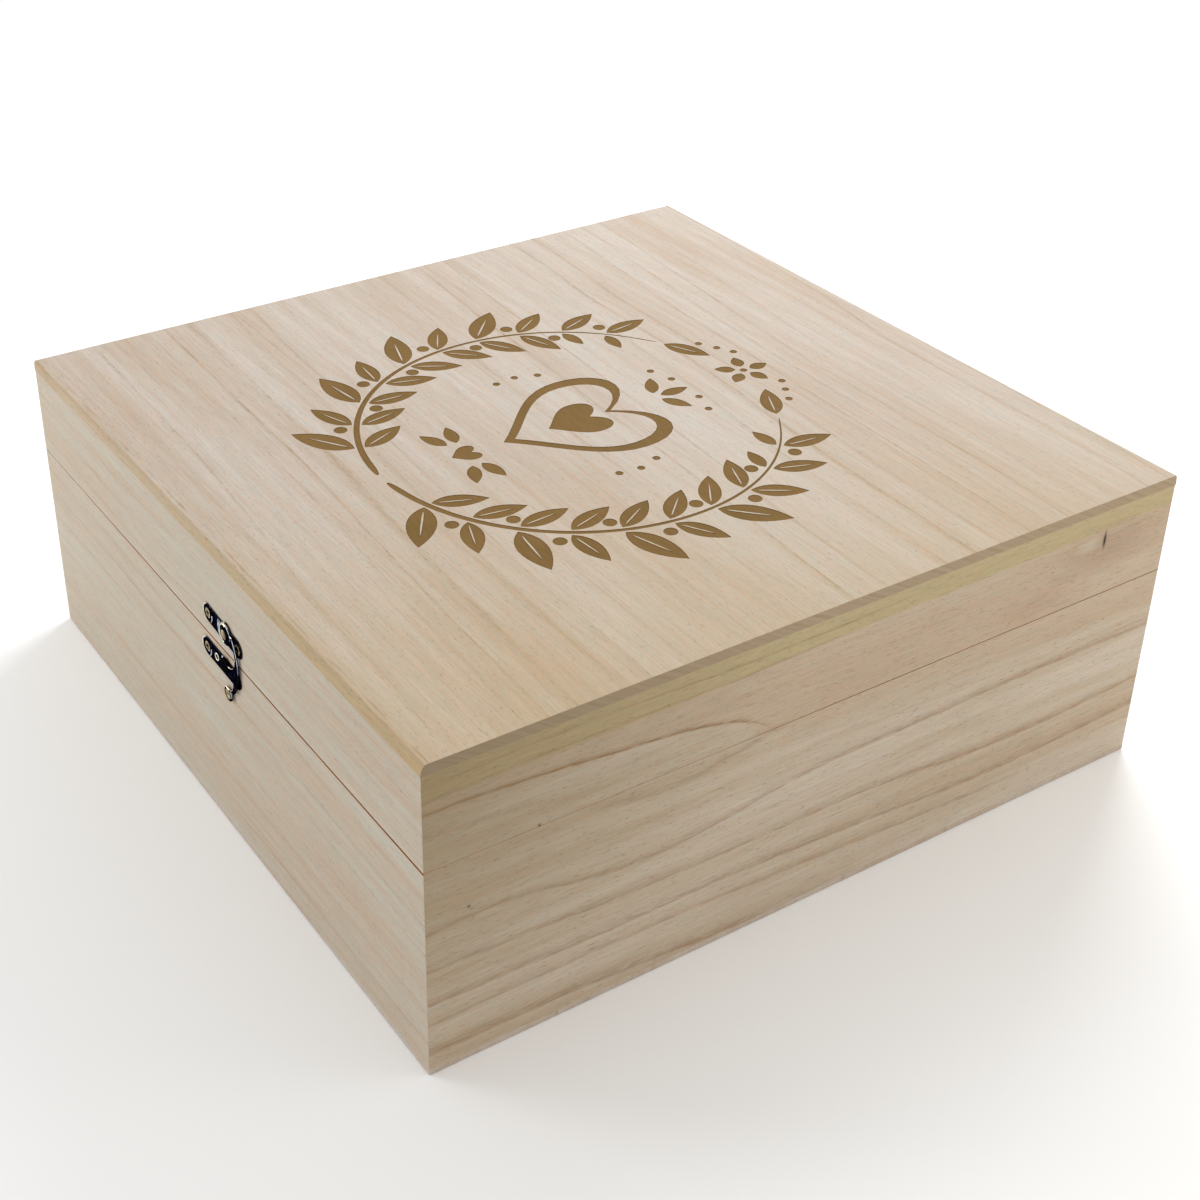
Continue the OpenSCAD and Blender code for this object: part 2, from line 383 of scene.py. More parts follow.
def paint(piece: bpy.types.Object, index: int, test: PairTest) -> None:
    """Gives one material slot to the faces that pass a test.

    Args:
        piece: The piece.
        index: The slot's number.
        test: A test on a face, given as its centre and normal.
    """
    for face in piece.data.polygons:
        if test((face.center, face.normal)):
            face.material_index = index


def place(
    piece: bpy.types.Object, body: str, slot: str, *nodes: str, angle: float = 40
) -> None:
    """Shades a finished piece smooth, with its large faces kept flat, and hands it to the frame.

    Args:
        piece: The piece.
        body: The CAD body that it rides on.
        slot: The record's material slot for its finish; not used.
        nodes: The CAD nodes that it stands for.
        angle: Edges sharper than this many degrees stay sharp.
    """
    activate(piece)
    bpy.ops.object.shade_smooth_by_angle(angle=math.radians(angle))
    apply_modifier(piece, "WEIGHTED_NORMAL", mode="FACE_AREA", weight=100, keep_sharp=True)
    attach(piece, body)
    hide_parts(*nodes)
    LOG.info("%s rides on %s: %d faces", piece.name, body, len(piece.data.polygons))


# ---------------------------------------------------------------- sizes


@dataclass(frozen=True)
class BoxSizes:
    """Sizes of the box in metres, read from the CAD nodes."""

    width: float
    depth: float
    wall: float
    foot: float
    base_top: float
    lid_low: float
    panel_low: float
    top: float

    @classmethod
    def from_frame(cls) -> "BoxSizes":
        """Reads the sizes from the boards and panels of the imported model.

        Returns:
            The sizes.
        """
        floor_low, floor_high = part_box("base_panel")
        board_low, board_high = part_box("base_front_board")
        panel_low, panel_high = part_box("lid_panel")
        return cls(
            width=floor_high.x - floor_low.x,
            depth=floor_high.y - floor_low.y,
            wall=board_high.y - board_low.y,
            foot=floor_high.z,
            base_top=board_high.z,
            lid_low=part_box("lid_front_board")[0].z,
            panel_low=panel_low.z,
            top=panel_high.z,
        )


# ---------------------------------------------------------------- wood

BARK = "#2c1f1a"


@dataclass(frozen=True)
class FigureLine:
    """One growth line drawn across a board, in mm from the board's near top corner.

    It is soft above and sharp below, as a growth line in paulownia is.
    """

    points: tuple[tuple[float, float], ...]
    strength: float
    soft: float = 3.0
    sharp: float = 0.7
    start: float = -60.0
    end: float = 400.0


@dataclass(frozen=True)
class PaleWood:
    """Paulownia, planed and sanded, with no oil or varnish.

    It gives the eye a dry, silky, pale tan surface: broad soft growth bands, thin brown growth
    lines that are sharp on one side, fine fibre, and short dark pores that follow the grain.
    Every pattern is placed by the object's own coordinates, turned to mm.
    """

    name: str
    grain: Grain
    seed: float = 0.0
    pale: str = "#c3b8ae"
    warm: str = "#b9a796"
    line: str = "#8e6f4d"
    pore: str = "#6d5037"
    ring_gap: float = 12.0
    ring_slope: float = 0.0
    ring_strength: float = 0.5
    pore_level: float = 0.635
    fibre: float = 0.08
    roughness: tuple[float, float] = (0.68, 0.86)

    def place_mm(self, tree: bpy.types.NodeTree) -> bpy.types.Node:
        """Reads the place on the object and turns it to the grain.

        Args:
            tree: The node tree.

        Returns:
            The place in mm, as along, across and into the grain.
        """
        split = add(tree, "SeparateXYZ", {0: add(tree, "TexCoord").outputs["Object"]})
        turned = add(
            tree, "CombineXYZ", {i: split.outputs[a] for i, a in enumerate(self.grain.value)}
        )
        return add(tree, "VectorMath", {0: turned, 1: (1000.0,) * 3}, operation="MULTIPLY")

    def noise(
        self,
        tree: bpy.types.NodeTree,
        mm: bpy.types.Node,
        length: float,
        width: float,
        detail: float = 2.0,
        shift: float = 0.0,
    ) -> bpy.types.Node:
        """Adds noise whose grains have a real length along and width across the board.

        Args:
            tree: The node tree.
            mm: The place on the object in mm.
            length: Length of a grain in mm.
            width: Width of a grain in mm.
            detail: Octaves of the noise.
            shift: Moves this noise away from the others.

        Returns:
            The noise.
        """
        moved = add(
            tree, "VectorMath", {0: mm, 1: (self.seed + shift, self.seed, shift)}, operation="ADD"
        )
        size = (1 / length, 1 / width, 1 / width)
        scaled = add(tree, "VectorMath", {0: moved, 1: size}, operation="MULTIPLY")
        return add(tree, "TexNoise", {"Vector": scaled, "Scale": 1.0, "Detail": detail})

    def rings(self, tree: bpy.types.NodeTree, mm: bpy.types.Node) -> bpy.types.Node:
        """Draws growth lines that are uneven in spacing, strength and length.

        Args:
            tree: The node tree.
            mm: The place on the object in mm.

        Returns:
            The strength of the lines.
        """
        split = add(tree, "SeparateXYZ", {0: mm})
        lean = add(
            tree, "Math", {0: split.outputs[0], 1: self.ring_slope, 2: split.outputs[1]},
            operation="MULTIPLY_ADD",
        )
        wander = self.noise(tree, mm, 160, 70, 1.0, 31)
        lean = add(tree, "Math", {0: wander, 1: 14.0, 2: lean}, operation="MULTIPLY_ADD")
        uneven = add(
            tree, "TexNoise", {"W": lean, "Scale": 0.45 / self.ring_gap, "Detail": 1.0},
            noise_dimensions="1D",
        )
        lean = add(
            tree, "Math", {0: uneven, 1: 2.2 * self.ring_gap, 2: lean}, operation="MULTIPLY_ADD"
        )
        count = add(tree, "Math", {0: lean, 1: self.ring_gap}, operation="DIVIDE")
        year = add(tree, "Math", {0: count}, operation="FLOOR")
        phase = add(tree, "Math", {0: count}, operation="FRACT")
        level = add(tree, "TexWhiteNoise", {"W": year}, noise_dimensions="1D")
        # A line darkens over the last third of each ring, and ends within its last twentieth.
        rise = add(tree, "MapRange", {0: phase, 1: 0.7, 2: 0.95})
        line = add(tree, "Math", {0: rise, 1: 2.0}, operation="POWER")
        fall = add(tree, "MapRange", {0: phase, 1: 0.955, 2: 1.0, 3: 1.0, 4: 0.0})
        broken = self.noise(tree, mm, 38, 6, 3.0, 57)
        fade = add(tree, "MapRange", {0: broken, 1: 0.3, 2: 0.65, 3: 0.25, 4: 1.0})
        for share in (fall, level, fade, self.specks(tree, mm), self.ring_strength):
            line = add(tree, "Math", {0: line, 1: share}, operation="MULTIPLY")
        return line

    def specks(self, tree: bpy.types.NodeTree, mm: bpy.types.Node) -> bpy.types.Node:
        """Returns what breaks a growth line up into short dashes."""
        grit = self.noise(tree, mm, 7, 0.6, 3.0, 71)
        return add(tree, "MapRange", {0: grit, 1: 0.36, 2: 0.62, 3: 0.4, 4: 1.25})

    def tint(
        self, tree: bpy.types.NodeTree, mm: bpy.types.Node, colour: bpy.types.Node
    ) -> bpy.types.Node:
        """Returns the colour with what only some boards show; a plain board adds nothing."""
        return colour

    def build(self) -> bpy.types.Material:
        """Builds the material.

        Returns:
            The material.
        """
        material, tree, shader = new_material(self.name)
        mm = self.place_mm(tree)
        lines = self.rings(tree, mm)
        broad = self.noise(tree, mm, 200, 26)
        band = self.noise(tree, mm, 120, 4.5, 3.0)
        tone = add(tree, "Math", {0: broad, 1: band}, operation="ADD")
        tone = add(tree, "MapRange", {0: tone, 1: 0.75, 2: 1.25})
        colour = add(tree, "Mix", {0: tone, 6: self.pale, 7: self.warm}, data_type="RGBA")
        colour = add(tree, "Mix", {0: lines, 6: colour, 7: self.line}, data_type="RGBA")
        colour = self.tint(tree, mm, colour)
        # Fine streaks lean by turns to rose and to a cool grey green.
        blush = self.noise(tree, mm, 9, 0.9, 4.0, 61)
        blush = add(tree, "MapRange", {0: blush, 1: 0.36, 2: 0.64})
        blush = add(tree, "Mix", {0: blush, 6: "#f8fdfb", 7: "#fff8f2"}, data_type="RGBA")
        colour = add(
            tree, "Mix", {0: 1.0, 6: colour, 7: blush}, data_type="RGBA", blend_type="MULTIPLY"
        )
        # Pores are open all over, and crowd beside the growth lines.
        level = add(
            tree, "Math", {0: lines, 1: -0.12, 2: self.pore_level}, operation="MULTIPLY_ADD"
        )
        pores = self.noise(tree, mm, 3.0, 0.3, 1.5, 83)
        pores = add(tree, "Math", {0: pores, 1: level}, operation="SUBTRACT")
        pores = add(tree, "MapRange", {0: pores, 1: 0.0, 2: 0.08, 4: 0.5})
        colour = add(tree, "Mix", {0: pores, 6: colour, 7: self.pore}, data_type="RGBA")
        fibre = self.noise(tree, mm, 14, 0.55, 3.0, 11)
        shade = add(
            tree, "MapRange", {0: fibre, 1: 0.3, 2: 0.7, 3: 1 - self.fibre, 4: 1 + self.fibre}
        )
        colour = add(tree, "VectorMath", {0: colour, "Scale": shade}, operation="SCALE")
        height = add(tree, "Math", {0: pores, 1: -1.5, 2: fibre}, operation="MULTIPLY_ADD")
        bump = add(tree, "Bump", {"Height": height, "Strength": 0.3, "Distance": 0.05 * MM})
        low, high = self.roughness
        rough = add(tree, "MapRange", {0: fibre, 3: low, 4: high})
        finish = {"Base Color": colour, "Roughness": rough, "Normal": bump}
        feed(tree, shader, {**finish, "Specular IOR Level": 0.3})
        return material


@dataclass(frozen=True)
class Mark:
    """One soft cloud or knot on a board, in mm from the board's near top corner."""

    middle: tuple[float, float]
    reach: tuple[float, float]
    tone: str
    strength: float


@dataclass(frozen=True)
class SideWood(PaleWood):
    """The right-hand boards, sawn across a branch: a brown arc, a knot, an olive sap edge and
    painted shade over the near end.
    """

    lines: tuple[FigureLine, ...] = (
        FigureLine(
            ((0, 18.6), (30, 19.5), (70, 23.5), (100, 27), (120, 32), (132, 40)),
            1.0, 2.1, 0.6, end=138,
        ),
        FigureLine(((0, 8.5), (60, 7.5), (120, 9), (200, 8), (316, 8)), 0.4, 1.6, 0.6, end=190),
        FigureLine(((0, 14), (60, 13.2), (110, 14), (150, 13), (316, 11)), 0.45, 1.2, 0.5, end=170),
        FigureLine(((50, 37), (68, 43), (90, 46.5), (115, 44), (135, 40)), 0.35, 3.5, 2.5, 45, 150),
        FigureLine(((0, 27), (25, 29), (60, 36)), 0.22, 4, 1.5, end=75),
        FigureLine(
            ((0, 65), (35, 65), (60, 70), (85, 72.2), (115, 70), (140, 66), (200, 64), (316, 64)),
            0.5, 4, 0.9,
        ),
        FigureLine(((0, 80), (60, 83), (110, 85), (180, 85.5), (240, 90.3), (316, 88.5)), 0.5, 5),
        FigureLine(((0, 94), (60, 96), (130, 97), (200, 101), (235, 103), (316, 101)), 0.5, 6),
        FigureLine(((0, 103), (80, 103), (150, 106), (220, 110), (316, 113)), 0.4, 4, end=260),
        FigureLine(((0, 115), (60, 116.5), (120, 121), (200, 124)), 0.55, 7, 1.2, end=190),
    )
    marks: tuple[Mark, ...] = (
        Mark((284.0, 20.0), (30.0, 11.0), "#9c8069", 0.45),
        Mark((250.0, 33.0), (26.0, 9.0), "#a37c62", 0.25),
        Mark((274.0, 16.0), (7.0, 4.0), "#c9bca8", 0.55),
        # Painted shade: a broad darker, warmer cloud over the near end, strongest at its top
        # corner.
        Mark((-25.0, 5.0), (150.0, 115.0), "#887454", 0.66),
        Mark((282.0, 16.5), (1.0, 4.6), BARK, 1.0),
        Mark((41.0, 39.6), (0.8, 0.8), BARK, 0.7),
        Mark((15.5, 60.0), (0.9, 0.8), BARK, 0.7),
    )
    run_out: float = 25.0
    pale: str = "#c4b7a7"
    warm: str = "#b8a58e"
    line: str = "#8b6a49"
    pink: str = "#baa38b"
    sap: str = "#b4a47c"

    def curve(
        self, tree: bpy.types.NodeTree, u: bpy.types.Node, points: Sequence[tuple[float, float]]
    ) -> bpy.types.Node:
        """Draws a line across the board through listed points.

        Args:
            tree: The node tree.
            u: Distance from the near corner in mm.
            points: Pairs of u and depth below the top in mm.

        Returns:
            The line's depth in mm at u.
        """
        share = add(tree, "Math", {0: u, 1: DEPTH_MM}, operation="DIVIDE")
        node = add(tree, "FloatCurve", {"Value": share})
        knots = node.mapping.curves[0].points
        for knot, (x, y) in zip((knots[0], knots[1]), (points[0], points[-1])):
            knot.location = (x / DEPTH_MM, y / TOP_MM)
        for x, y in points[1:-1]:
            knots.new(x / DEPTH_MM, y / TOP_MM)
        node.mapping.update()
        return add(tree, "Math", {0: node, 1: TOP_MM}, operation="MULTIPLY")

    def tint(
        self, tree: bpy.types.NodeTree, mm: bpy.types.Node, colour: bpy.types.Node
    ) -> bpy.types.Node:
        """Adds the drawn growth lines, the pink heart above the arc, the sap edge, the knots and
        the painted shade.

        Args:
            tree: The node tree.
            mm: The place on the object in mm.
            colour: The plain board's colour.

        Returns:
            The colour.
        """
        split = add(tree, "SeparateXYZ", {0: mm})
        u = add(tree, "Math", {0: split.outputs[0], 1: FRONT_MM}, operation="SUBTRACT")
        d = add(tree, "Math", {0: TOP_MM, 1: split.outputs[1]}, operation="SUBTRACT")
        # The depth wobbles by 0.7 mm either way, so that no line looks drawn with a ruler.
        wobble = self.noise(tree, mm, 9, 3, 3.0, 5)
        d = add(tree, "Math", {0: wobble, 1: 1.4, 2: d}, operation="MULTIPLY_ADD")
        d = add(tree, "Math", {0: d, 1: 0.7}, operation="SUBTRACT")
        # Pinker heartwood lies between the sap edge and the arc with its long straight tail.
        heart = self.curve(
            tree, u, ((0, 20), (70, 24), (100, 28), (122, 34), (132, 41.5), (200, 46), (316, 54.5))
        )
        above = add(tree, "Math", {0: heart, 1: d}, operation="SUBTRACT")
        above = add(tree, "MapRange", {0: above, 1: -0.6, 2: 0.6, 4: 0.55})
        colour = add(tree, "Mix", {0: above, 6: colour, 7: self.pink}, data_type="RGBA")
        drawn = None
        for line in self.lines:
            depth = self.curve(tree, u, line.points)
            away = add(tree, "Math", {0: d, 1: depth}, operation="SUBTRACT")
            rise = add(tree, "MapRange", {0: away, 1: -line.soft, 2: 0.0})
            one = add(tree, "Math", {0: rise, 1: 1.8}, operation="POWER")
            fall = add(tree, "MapRange", {0: away, 1: 0.0, 2: line.sharp, 3: 1.0, 4: 0.0})
            begin = add(tree, "MapRange", {0: u, 1: line.start, 2: line.start + self.run_out})
            finish = add(
                tree, "MapRange", {0: u, 1: line.end - self.run_out, 2: line.end, 3: 1.0, 4: 0.0}
            )
            for share in (fall, begin, finish, line.strength):
                one = add(tree, "Math", {0: one, 1: share}, operation="MULTIPLY")
            if drawn is not None:
                one = add(tree, "Math", {0: drawn, 1: one}, operation="MAXIMUM")
            drawn = one
        drawn = add(tree, "Math", {0: drawn, 1: self.specks(tree, mm)}, operation="MULTIPLY")
        edge = self.curve(tree, u, ((0, 14), (100, 14.2), (150, 13), (240, 12.3), (316, 11.5)))
        sap = add(tree, "Math", {0: edge, 1: d}, operation="SUBTRACT")
        sap = add(tree, "MapRange", {0: sap, 1: -0.4, 2: 0.5, 4: 0.8})
        colour = add(tree, "Mix", {0: sap, 6: colour, 7: self.sap}, data_type="RGBA")
        colour = add(tree, "Mix", {0: drawn, 6: colour, 7: self.line}, data_type="RGBA")
        for mark in self.marks:
            away = {}
            for axis, spot in enumerate((u, d)):
                off = add(tree, "Math", {0: spot, 1: mark.middle[axis]}, operation="SUBTRACT")
                away[axis] = add(tree, "Math", {0: off, 1: mark.reach[axis]}, operation="DIVIDE")
            far = add(tree, "VectorMath", {0: add(tree, "CombineXYZ", away)}, operation="LENGTH")
            share = add(tree, "MapRange", {0: far, 1: 1.1, 2: 0.2, 4: mark.strength})
            colour = add(tree, "Mix", {0: share, 6: colour, 7: mark.tone}, data_type="RGBA")
        return colour


@dataclass(frozen=True)
class LidTopWood(PaleWood):
    """The lid's panel: its sanded front round shows a tan, slightly polished band."""

    line: str = "#94764a"
    tan: str = "#b39b76"
    yellow: str = "#baa174"
    torn: str = "#8d6f45"

    def tint(
        self, tree: bpy.types.NodeTree, mm: bpy.types.Node, colour: bpy.types.Node
    ) -> bpy.types.Node:
        """Adds the tan of the rounded front edge, and a yellower tone towards the right and the
        front.

        Args:
            tree: The node tree.
            mm: The place on the object in mm.
            colour: The plain board's colour.

        Returns:
            The colour.
        """
        split = add(tree, "SeparateXYZ", {0: mm})
        back = add(tree, "Math", {0: split.outputs[1], 1: FRONT_MM}, operation="SUBTRACT")
        ragged = self.noise(tree, mm, 6, 1.5, 3.0, 19)
        back = add(tree, "Math", {0: ragged, 1: 1.6, 2: back}, operation="MULTIPLY_ADD")
        near = add(tree, "MapRange", {0: back, 1: 1.5, 2: 3.2, 3: 1.0, 4: 0.0})
        ends = {1: -HALF_WIDTH_MM, 2: HALF_WIDTH_MM, 3: 0.5, 4: 0.88}
        toward_right = add(tree, "MapRange", {0: split.outputs[0], **ends})
        mask = add(tree, "Math", {0: near, 1: toward_right}, operation="MULTIPLY")
        right = add(
            tree, "Math", {0: split.outputs[1], 1: -0.3, 2: split.outputs[0]},
            operation="MULTIPLY_ADD",
        )
        yellow = add(tree, "MapRange", {0: right, 1: 20.0, 2: 200.0, 4: 0.5})
        # Where the round runs out into the flat top, the sander left a broken brown edge.
        out = add(tree, "Math", {0: back, 1: 3.7}, operation="SUBTRACT")
        out = add(tree, "Math", {0: out}, operation="ABSOLUTE")
        out = add(tree, "MapRange", {0: out, 1: 0.7, 2: 0.1})
        torn = self.noise(tree, mm, 16, 3, 3.0, 23)
        torn = add(tree, "MapRange", {0: torn, 1: 0.42, 2: 0.62, 4: 0.5})
        out = add(tree, "Math", {0: out, 1: torn}, operation="MULTIPLY")
        for share, tone in ((yellow, self.yellow), (mask, self.tan), (out, self.torn)):
            colour = add(tree, "Mix", {0: share, 6: colour, 7: tone}, data_type="RGBA")
        return colour


@dataclass(frozen=True)
class EndGrainWood(PaleWood):
    """The lid panel's sawn end: darker, mottled, with slanting marks of its growth rings and
    painted shade towards the front corner.
    """

    # Colour of the painted shade towards the front corner.
    shade: str = "#75654a"

    def build(self) -> bpy.types.Material:
        """Builds the material.

        Returns:
            The material.
        """
        material, tree, shader = new_material(self.name)
        mm = self.place_mm(tree)
        split = add(tree, "SeparateXYZ", {0: mm})
        slant = add(
            tree, "Math", {0: split.outputs[0], 1: 1.8, 2: split.outputs[1]},
            operation="MULTIPLY_ADD",
        )
        blur = self.noise(tree, mm, 9, 25, 2.0)
        slant = add(tree, "Math", {0: blur, 1: 5.0, 2: slant}, operation="MULTIPLY_ADD")
        rings = add(
            tree, "TexNoise", {"W": slant, "Scale": 0.34, "Detail": 5.0}, noise_dimensions="1D"
        )
        tubes = add(tree, "TexVoronoi", {"Vector": mm, "Scale": 3.2, "Randomness": 1.0})
        dark = add(tree, "MapRange", {0: rings, 1: 0.3, 2: 0.8})
        colour = add(tree, "Mix", {0: dark, 6: self.pale, 7: self.line}, data_type="RGBA")
        holes = add(tree, "MapRange", {0: tubes, 1: 0.22, 2: 0.1, 4: 0.3})
        # Painted shade: the end darkens towards the front corner.
        near = add(tree, "MapRange", {0: split.outputs[1], 1: FRONT_MM, 2: -10.0, 3: 0.5, 4: 0.0})
        for share, tone in ((holes, self.pore), (near, self.shade)):
            colour = add(tree, "Mix", {0: share, 6: colour, 7: tone}, data_type="RGBA")
        bump = add(tree, "Bump", {"Height": tubes, "Strength": 0.4, "Distance": 0.08 * MM})
        rough = add(tree, "MapRange", {0: blur, 3: 0.75, 4: 0.95})
        finish = {"Base Color": colour, "Roughness": rough, "Normal": bump}
        feed(tree, shader, {**finish, "Specular IOR Level": 0.25})
        return material


@dataclass(frozen=True)
class ToneFinish:
    """A plain finish of two tones, for wood that a beam or a saw has scorched.

    The eye sees a matt brown with faint streaks along the grain and a little more soot in places.
    """

    name: str
    light: str
    dark: str
    length: float = 8.0
    width: float = 0.8
    rough: float = 0.9

    def build(self) -> bpy.types.Material:
        """Builds the material.

        Returns:
            The material.
        """
        material, tree, shader = new_material(self.name)
        coords = add(tree, "TexCoord").outputs["Object"]
        size = (1000 / self.length, 1000 / self.width, 1000 / self.width)
        scaled = add(tree, "VectorMath", {0: coords, 1: size}, operation="MULTIPLY")
        streak = add(tree, "TexNoise", {"Vector": scaled, "Scale": 1.0, "Detail": 3.0})
        cloud = add(tree, "TexNoise", {"Vector": coords, "Scale": 45.0, "Detail": 2.0})
        tone = add(tree, "Math", {0: streak, 1: cloud}, operation="ADD")
        tone = add(tree, "MapRange", {0: tone, 1: 0.75, 2: 1.25})
        colour = add(tree, "Mix", {0: tone, 6: self.light, 7: self.dark}, data_type="RGBA")
        bump = add(tree, "Bump", {"Height": streak, "Strength": 0.3, "Distance": 0.05 * MM})
        rough = add(
            tree, "MapRange", {0: streak, 3: self.rough - 0.08, 4: min(1.0, self.rough + 0.08)}
        )
        finish = {"Base Color": colour, "Roughness": rough, "Normal": bump}
        feed(tree, shader, {**finish, "Specular IOR Level": 0.2})
        return material


# ---------------------------------------------------------------- metal


@dataclass(frozen=True)
class AgedMetal:
    """Plated steel with an antique bronze patina.

    The eye sees a dark brown, half-shiny skin, rubbed through to warmer metal in soft patches,
    with pits and fine scratches that break up its highlights.
    """

    name: str
    patina: str
    bare: str
    wear_and_glint: float
    rough: tuple[float, float]
    glance: str = "#ffffff"
    pit: float = 0.04

    def build(self) -> bpy.types.Material:
        """Builds the material.

        Returns:
            The material.
        """
        material, tree, shader = new_material(self.name)
        coords = add(tree, "TexCoord").outputs["Object"]
        mm = add(tree, "VectorMath", {0: coords, 1: (1000.0,) * 3}, operation="MULTIPLY")
        cloud = add(tree, "TexNoise", {"Vector": mm, "Scale": 0.55, "Detail": 4.0})
        grit = add(tree, "TexNoise", {"Vector": mm, "Scale": 5.0, "Detail": 3.0})
        along = add(tree, "VectorMath", {0: mm, 1: (0.5, 9.0, 7.0)}, operation="MULTIPLY")
        scratch = add(tree, "TexNoise", {"Vector": along, "Scale": 1.0, "Detail": 2.0})
        mask = add(tree, "Math", {0: grit, 1: 0.35, 2: cloud}, operation="MULTIPLY_ADD")
        start = 0.86 - 0.5 * self.wear_and_glint
        mask = add(tree, "MapRange", {0: mask, 1: start, 2: start + 0.16})
        colour = add(tree, "Mix", {0: mask, 6: self.patina, 7: self.bare}, data_type="RGBA")
        low, high = self.rough
        rough = add(tree, "MapRange", {0: grit, 1: 0.35, 2: 0.65, 3: low, 4: high})
        height = add(tree, "Math", {0: scratch, 1: 0.5, 2: grit}, operation="MULTIPLY_ADD")
        bump = add(tree, "Bump", {"Height": height, "Strength": 0.5, "Distance": self.pit * MM})
        finish = {"Base Color": colour, "Roughness": rough, "Normal": bump}
        feed(tree, shader, {**finish, "Metallic": 1.0, "Specular Tint": self.glance})
        return material


# ---------------------------------------------------------------- wooden pieces

# The lid's boards come down closer on the base in places. For each such side: where its lower
# edge is divided in mm, and up to which place in metres it comes down by which share of the
# full step. The last place, a metre off, lies past the board's end.
SEAM = {
    Side.RIGHT: ((-40, 0), ((-39 * MM, 1.0), (1.0, 0.5))),
    Side.FRONT: ((-150, -60), ((-149 * MM, 0.9), (-59 * MM, 0.6), (1.0, 0.45))),
}


@dataclass
class Carcass:
    """The eight mitred boards of base and lid, glued up as one box and then sawn apart.

    An arris is the width of the saw cut's chamfer, and how many times higher it is at the
    board's far end.
    """

    sizes: BoxSizes
    corner_round: float = 0.5 * MM
    arris: tuple[float, float] = (0.05 * MM, 1.0)
    front_arris: tuple[float, float] = (0.22 * MM, 3.2)
    right_arris: tuple[float, float] = (0.06 * MM, 1.8)
    # The full step by which the lid's edge comes down, and how high above the cut it moves.
    close_fit: float = 0.39 * MM
    seam_reach: float = 0.4 * MM

    def board(self, name: str, side: Side, low: float, high: float) -> bpy.types.Object:
        """Cuts one mitred board out of a block with rounded upright corners.

        Args:
            name: The board's name.
            side: The side that it closes.
            low: Height of its lower edge.
            high: Height of its upper edge.

        Returns:
            The board.
        """
        half = Vector((self.sizes.width / 2, self.sizes.depth / 2, 0))
        piece = block(name, Vector((-half.x, -half.y, low)), Vector((half.x, half.y, high)))
        upright = 0.5 * (high - low)
        round_edges(piece, self.corner_round, 4, lambda e: abs(e[0].z - e[1].z) > upright)
        normal = Vector((*side.value, 0))
        along = Vector((-normal.y, normal.x, 0))
        face = Vector((normal.x * half.x, normal.y * half.y, 0))
        reach = abs(along.x) * half.x + abs(along.y) * half.y
        trim(piece, face - normal * self.sizes.wall, -normal)
        for end in (-1, 1):
            trim(piece, face + along * reach * end, (along * end - normal).normalized())
        return piece

    def chamfer_saw_cut(
        self, piece: bpy.types.Object, side: Side, cut_z: float, arris: tuple[float, float]
    ) -> None:
        """Breaks the outer arris that the saw left, and marks the sawn faces.

        Args:
            piece: The board.
            side: The side that it closes.
            cut_z: Height of the sawn edge.
            arris: Width of the chamfer, and how many times higher it is at the board's far end.
        """
        width, spread = arris
        normal = Vector((*side.value, 0))
        outer = abs(normal.x) * self.sizes.width / 2 + abs(normal.y) * self.sizes.depth / 2
        near = 0.03 * MM
        inner = outer - self.corner_round - near
        round_edges(
            piece,
            width,
            2,
            lambda e: all(abs(p.z - cut_z) < near and p.dot(normal) > inner for p in e),
        )
        reach = 1.5 * width
        paint(piece, 1, lambda f: abs(f[0].z - cut_z) < reach and abs(f[1].z) > 0.98)
        # The chamfer's colour is partly saw scorch, partly painted shade of the seam's gap.
        paint(piece, 2, lambda f: abs(f[0].z - cut_z) < reach and 0.2 < abs(f[1].z) < 0.98)
        axis = 0 if side is Side.FRONT else 1
        end = (self.sizes.width, self.sizes.depth)[axis] / 2 - 2 * self.corner_round
        for vertex in piece.data.vertices:
            away = vertex.co.z - cut_z
            if vertex.co[axis] > end and abs(away) < reach:
                vertex.co.z = cut_z + spread * away

    def close_seam(self, piece: bpy.types.Object, side: Side, cut_z: float) -> None:
        """Lets the lid rest closer on the base where the seam all but vanishes.

        Args:
            piece: A lid board.
            side: The side that it closes.
            cut_z: Height of its sawn edge.
        """
        axis = 1 if side is Side.RIGHT else 0
        plane = Vector((0, 0, 0))
        plane[axis] = 1
        stations, shares = SEAM.get(side, ((), ()))
        for station in stations:
            edit_all(piece)
            bpy.ops.mesh.bisect(plane_co=plane * station * MM, plane_no=plane)
            deselect()
        reach = cut_z + self.seam_reach
        below = -1.0
        for limit, share in shares:
            pick(piece, verts=lambda p: below < p[axis] < limit and p.z < reach)
            bpy.ops.transform.translate(value=(0, 0, -self.close_fit * share))
            deselect()
            below = limit

    def build(
        self,
        woods: dict[Side, bpy.types.Material],
        sawn: bpy.types.Material,
        scorched: bpy.types.Material,
    ) -> None:
        """scorched: The finish of their outer arris: saw scorch, and painted shade of the seam.
        """
        for side in Side:
            label = side.name.lower()
            for body, low, high, cut in (
                ("base", self.sizes.foot, self.sizes.base_top, self.sizes.base_top),
                ("lid", self.sizes.lid_low, self.sizes.panel_low, self.sizes.lid_low),
            ):
                piece = self.board(f"{body}_{label}_plank", side, low, high)
                # The base's arris shows as a brown line that widens to the right and the back; its
                # colour is partly saw scorch, partly painted shade of the seam.
                seen = {Side.FRONT: self.front_arris, Side.RIGHT: self.right_arris}
                arris = seen.get(side, self.arris) if body == "base" else self.arris
                self.chamfer_saw_cut(piece, side, cut, arris)
                if body == "lid":
                    self.close_seam(piece, side, cut)
                dress(piece, woods[side], sawn, scorched)
                place(piece, body, "wood_boards", f"{body}_{label}_board", angle=35)


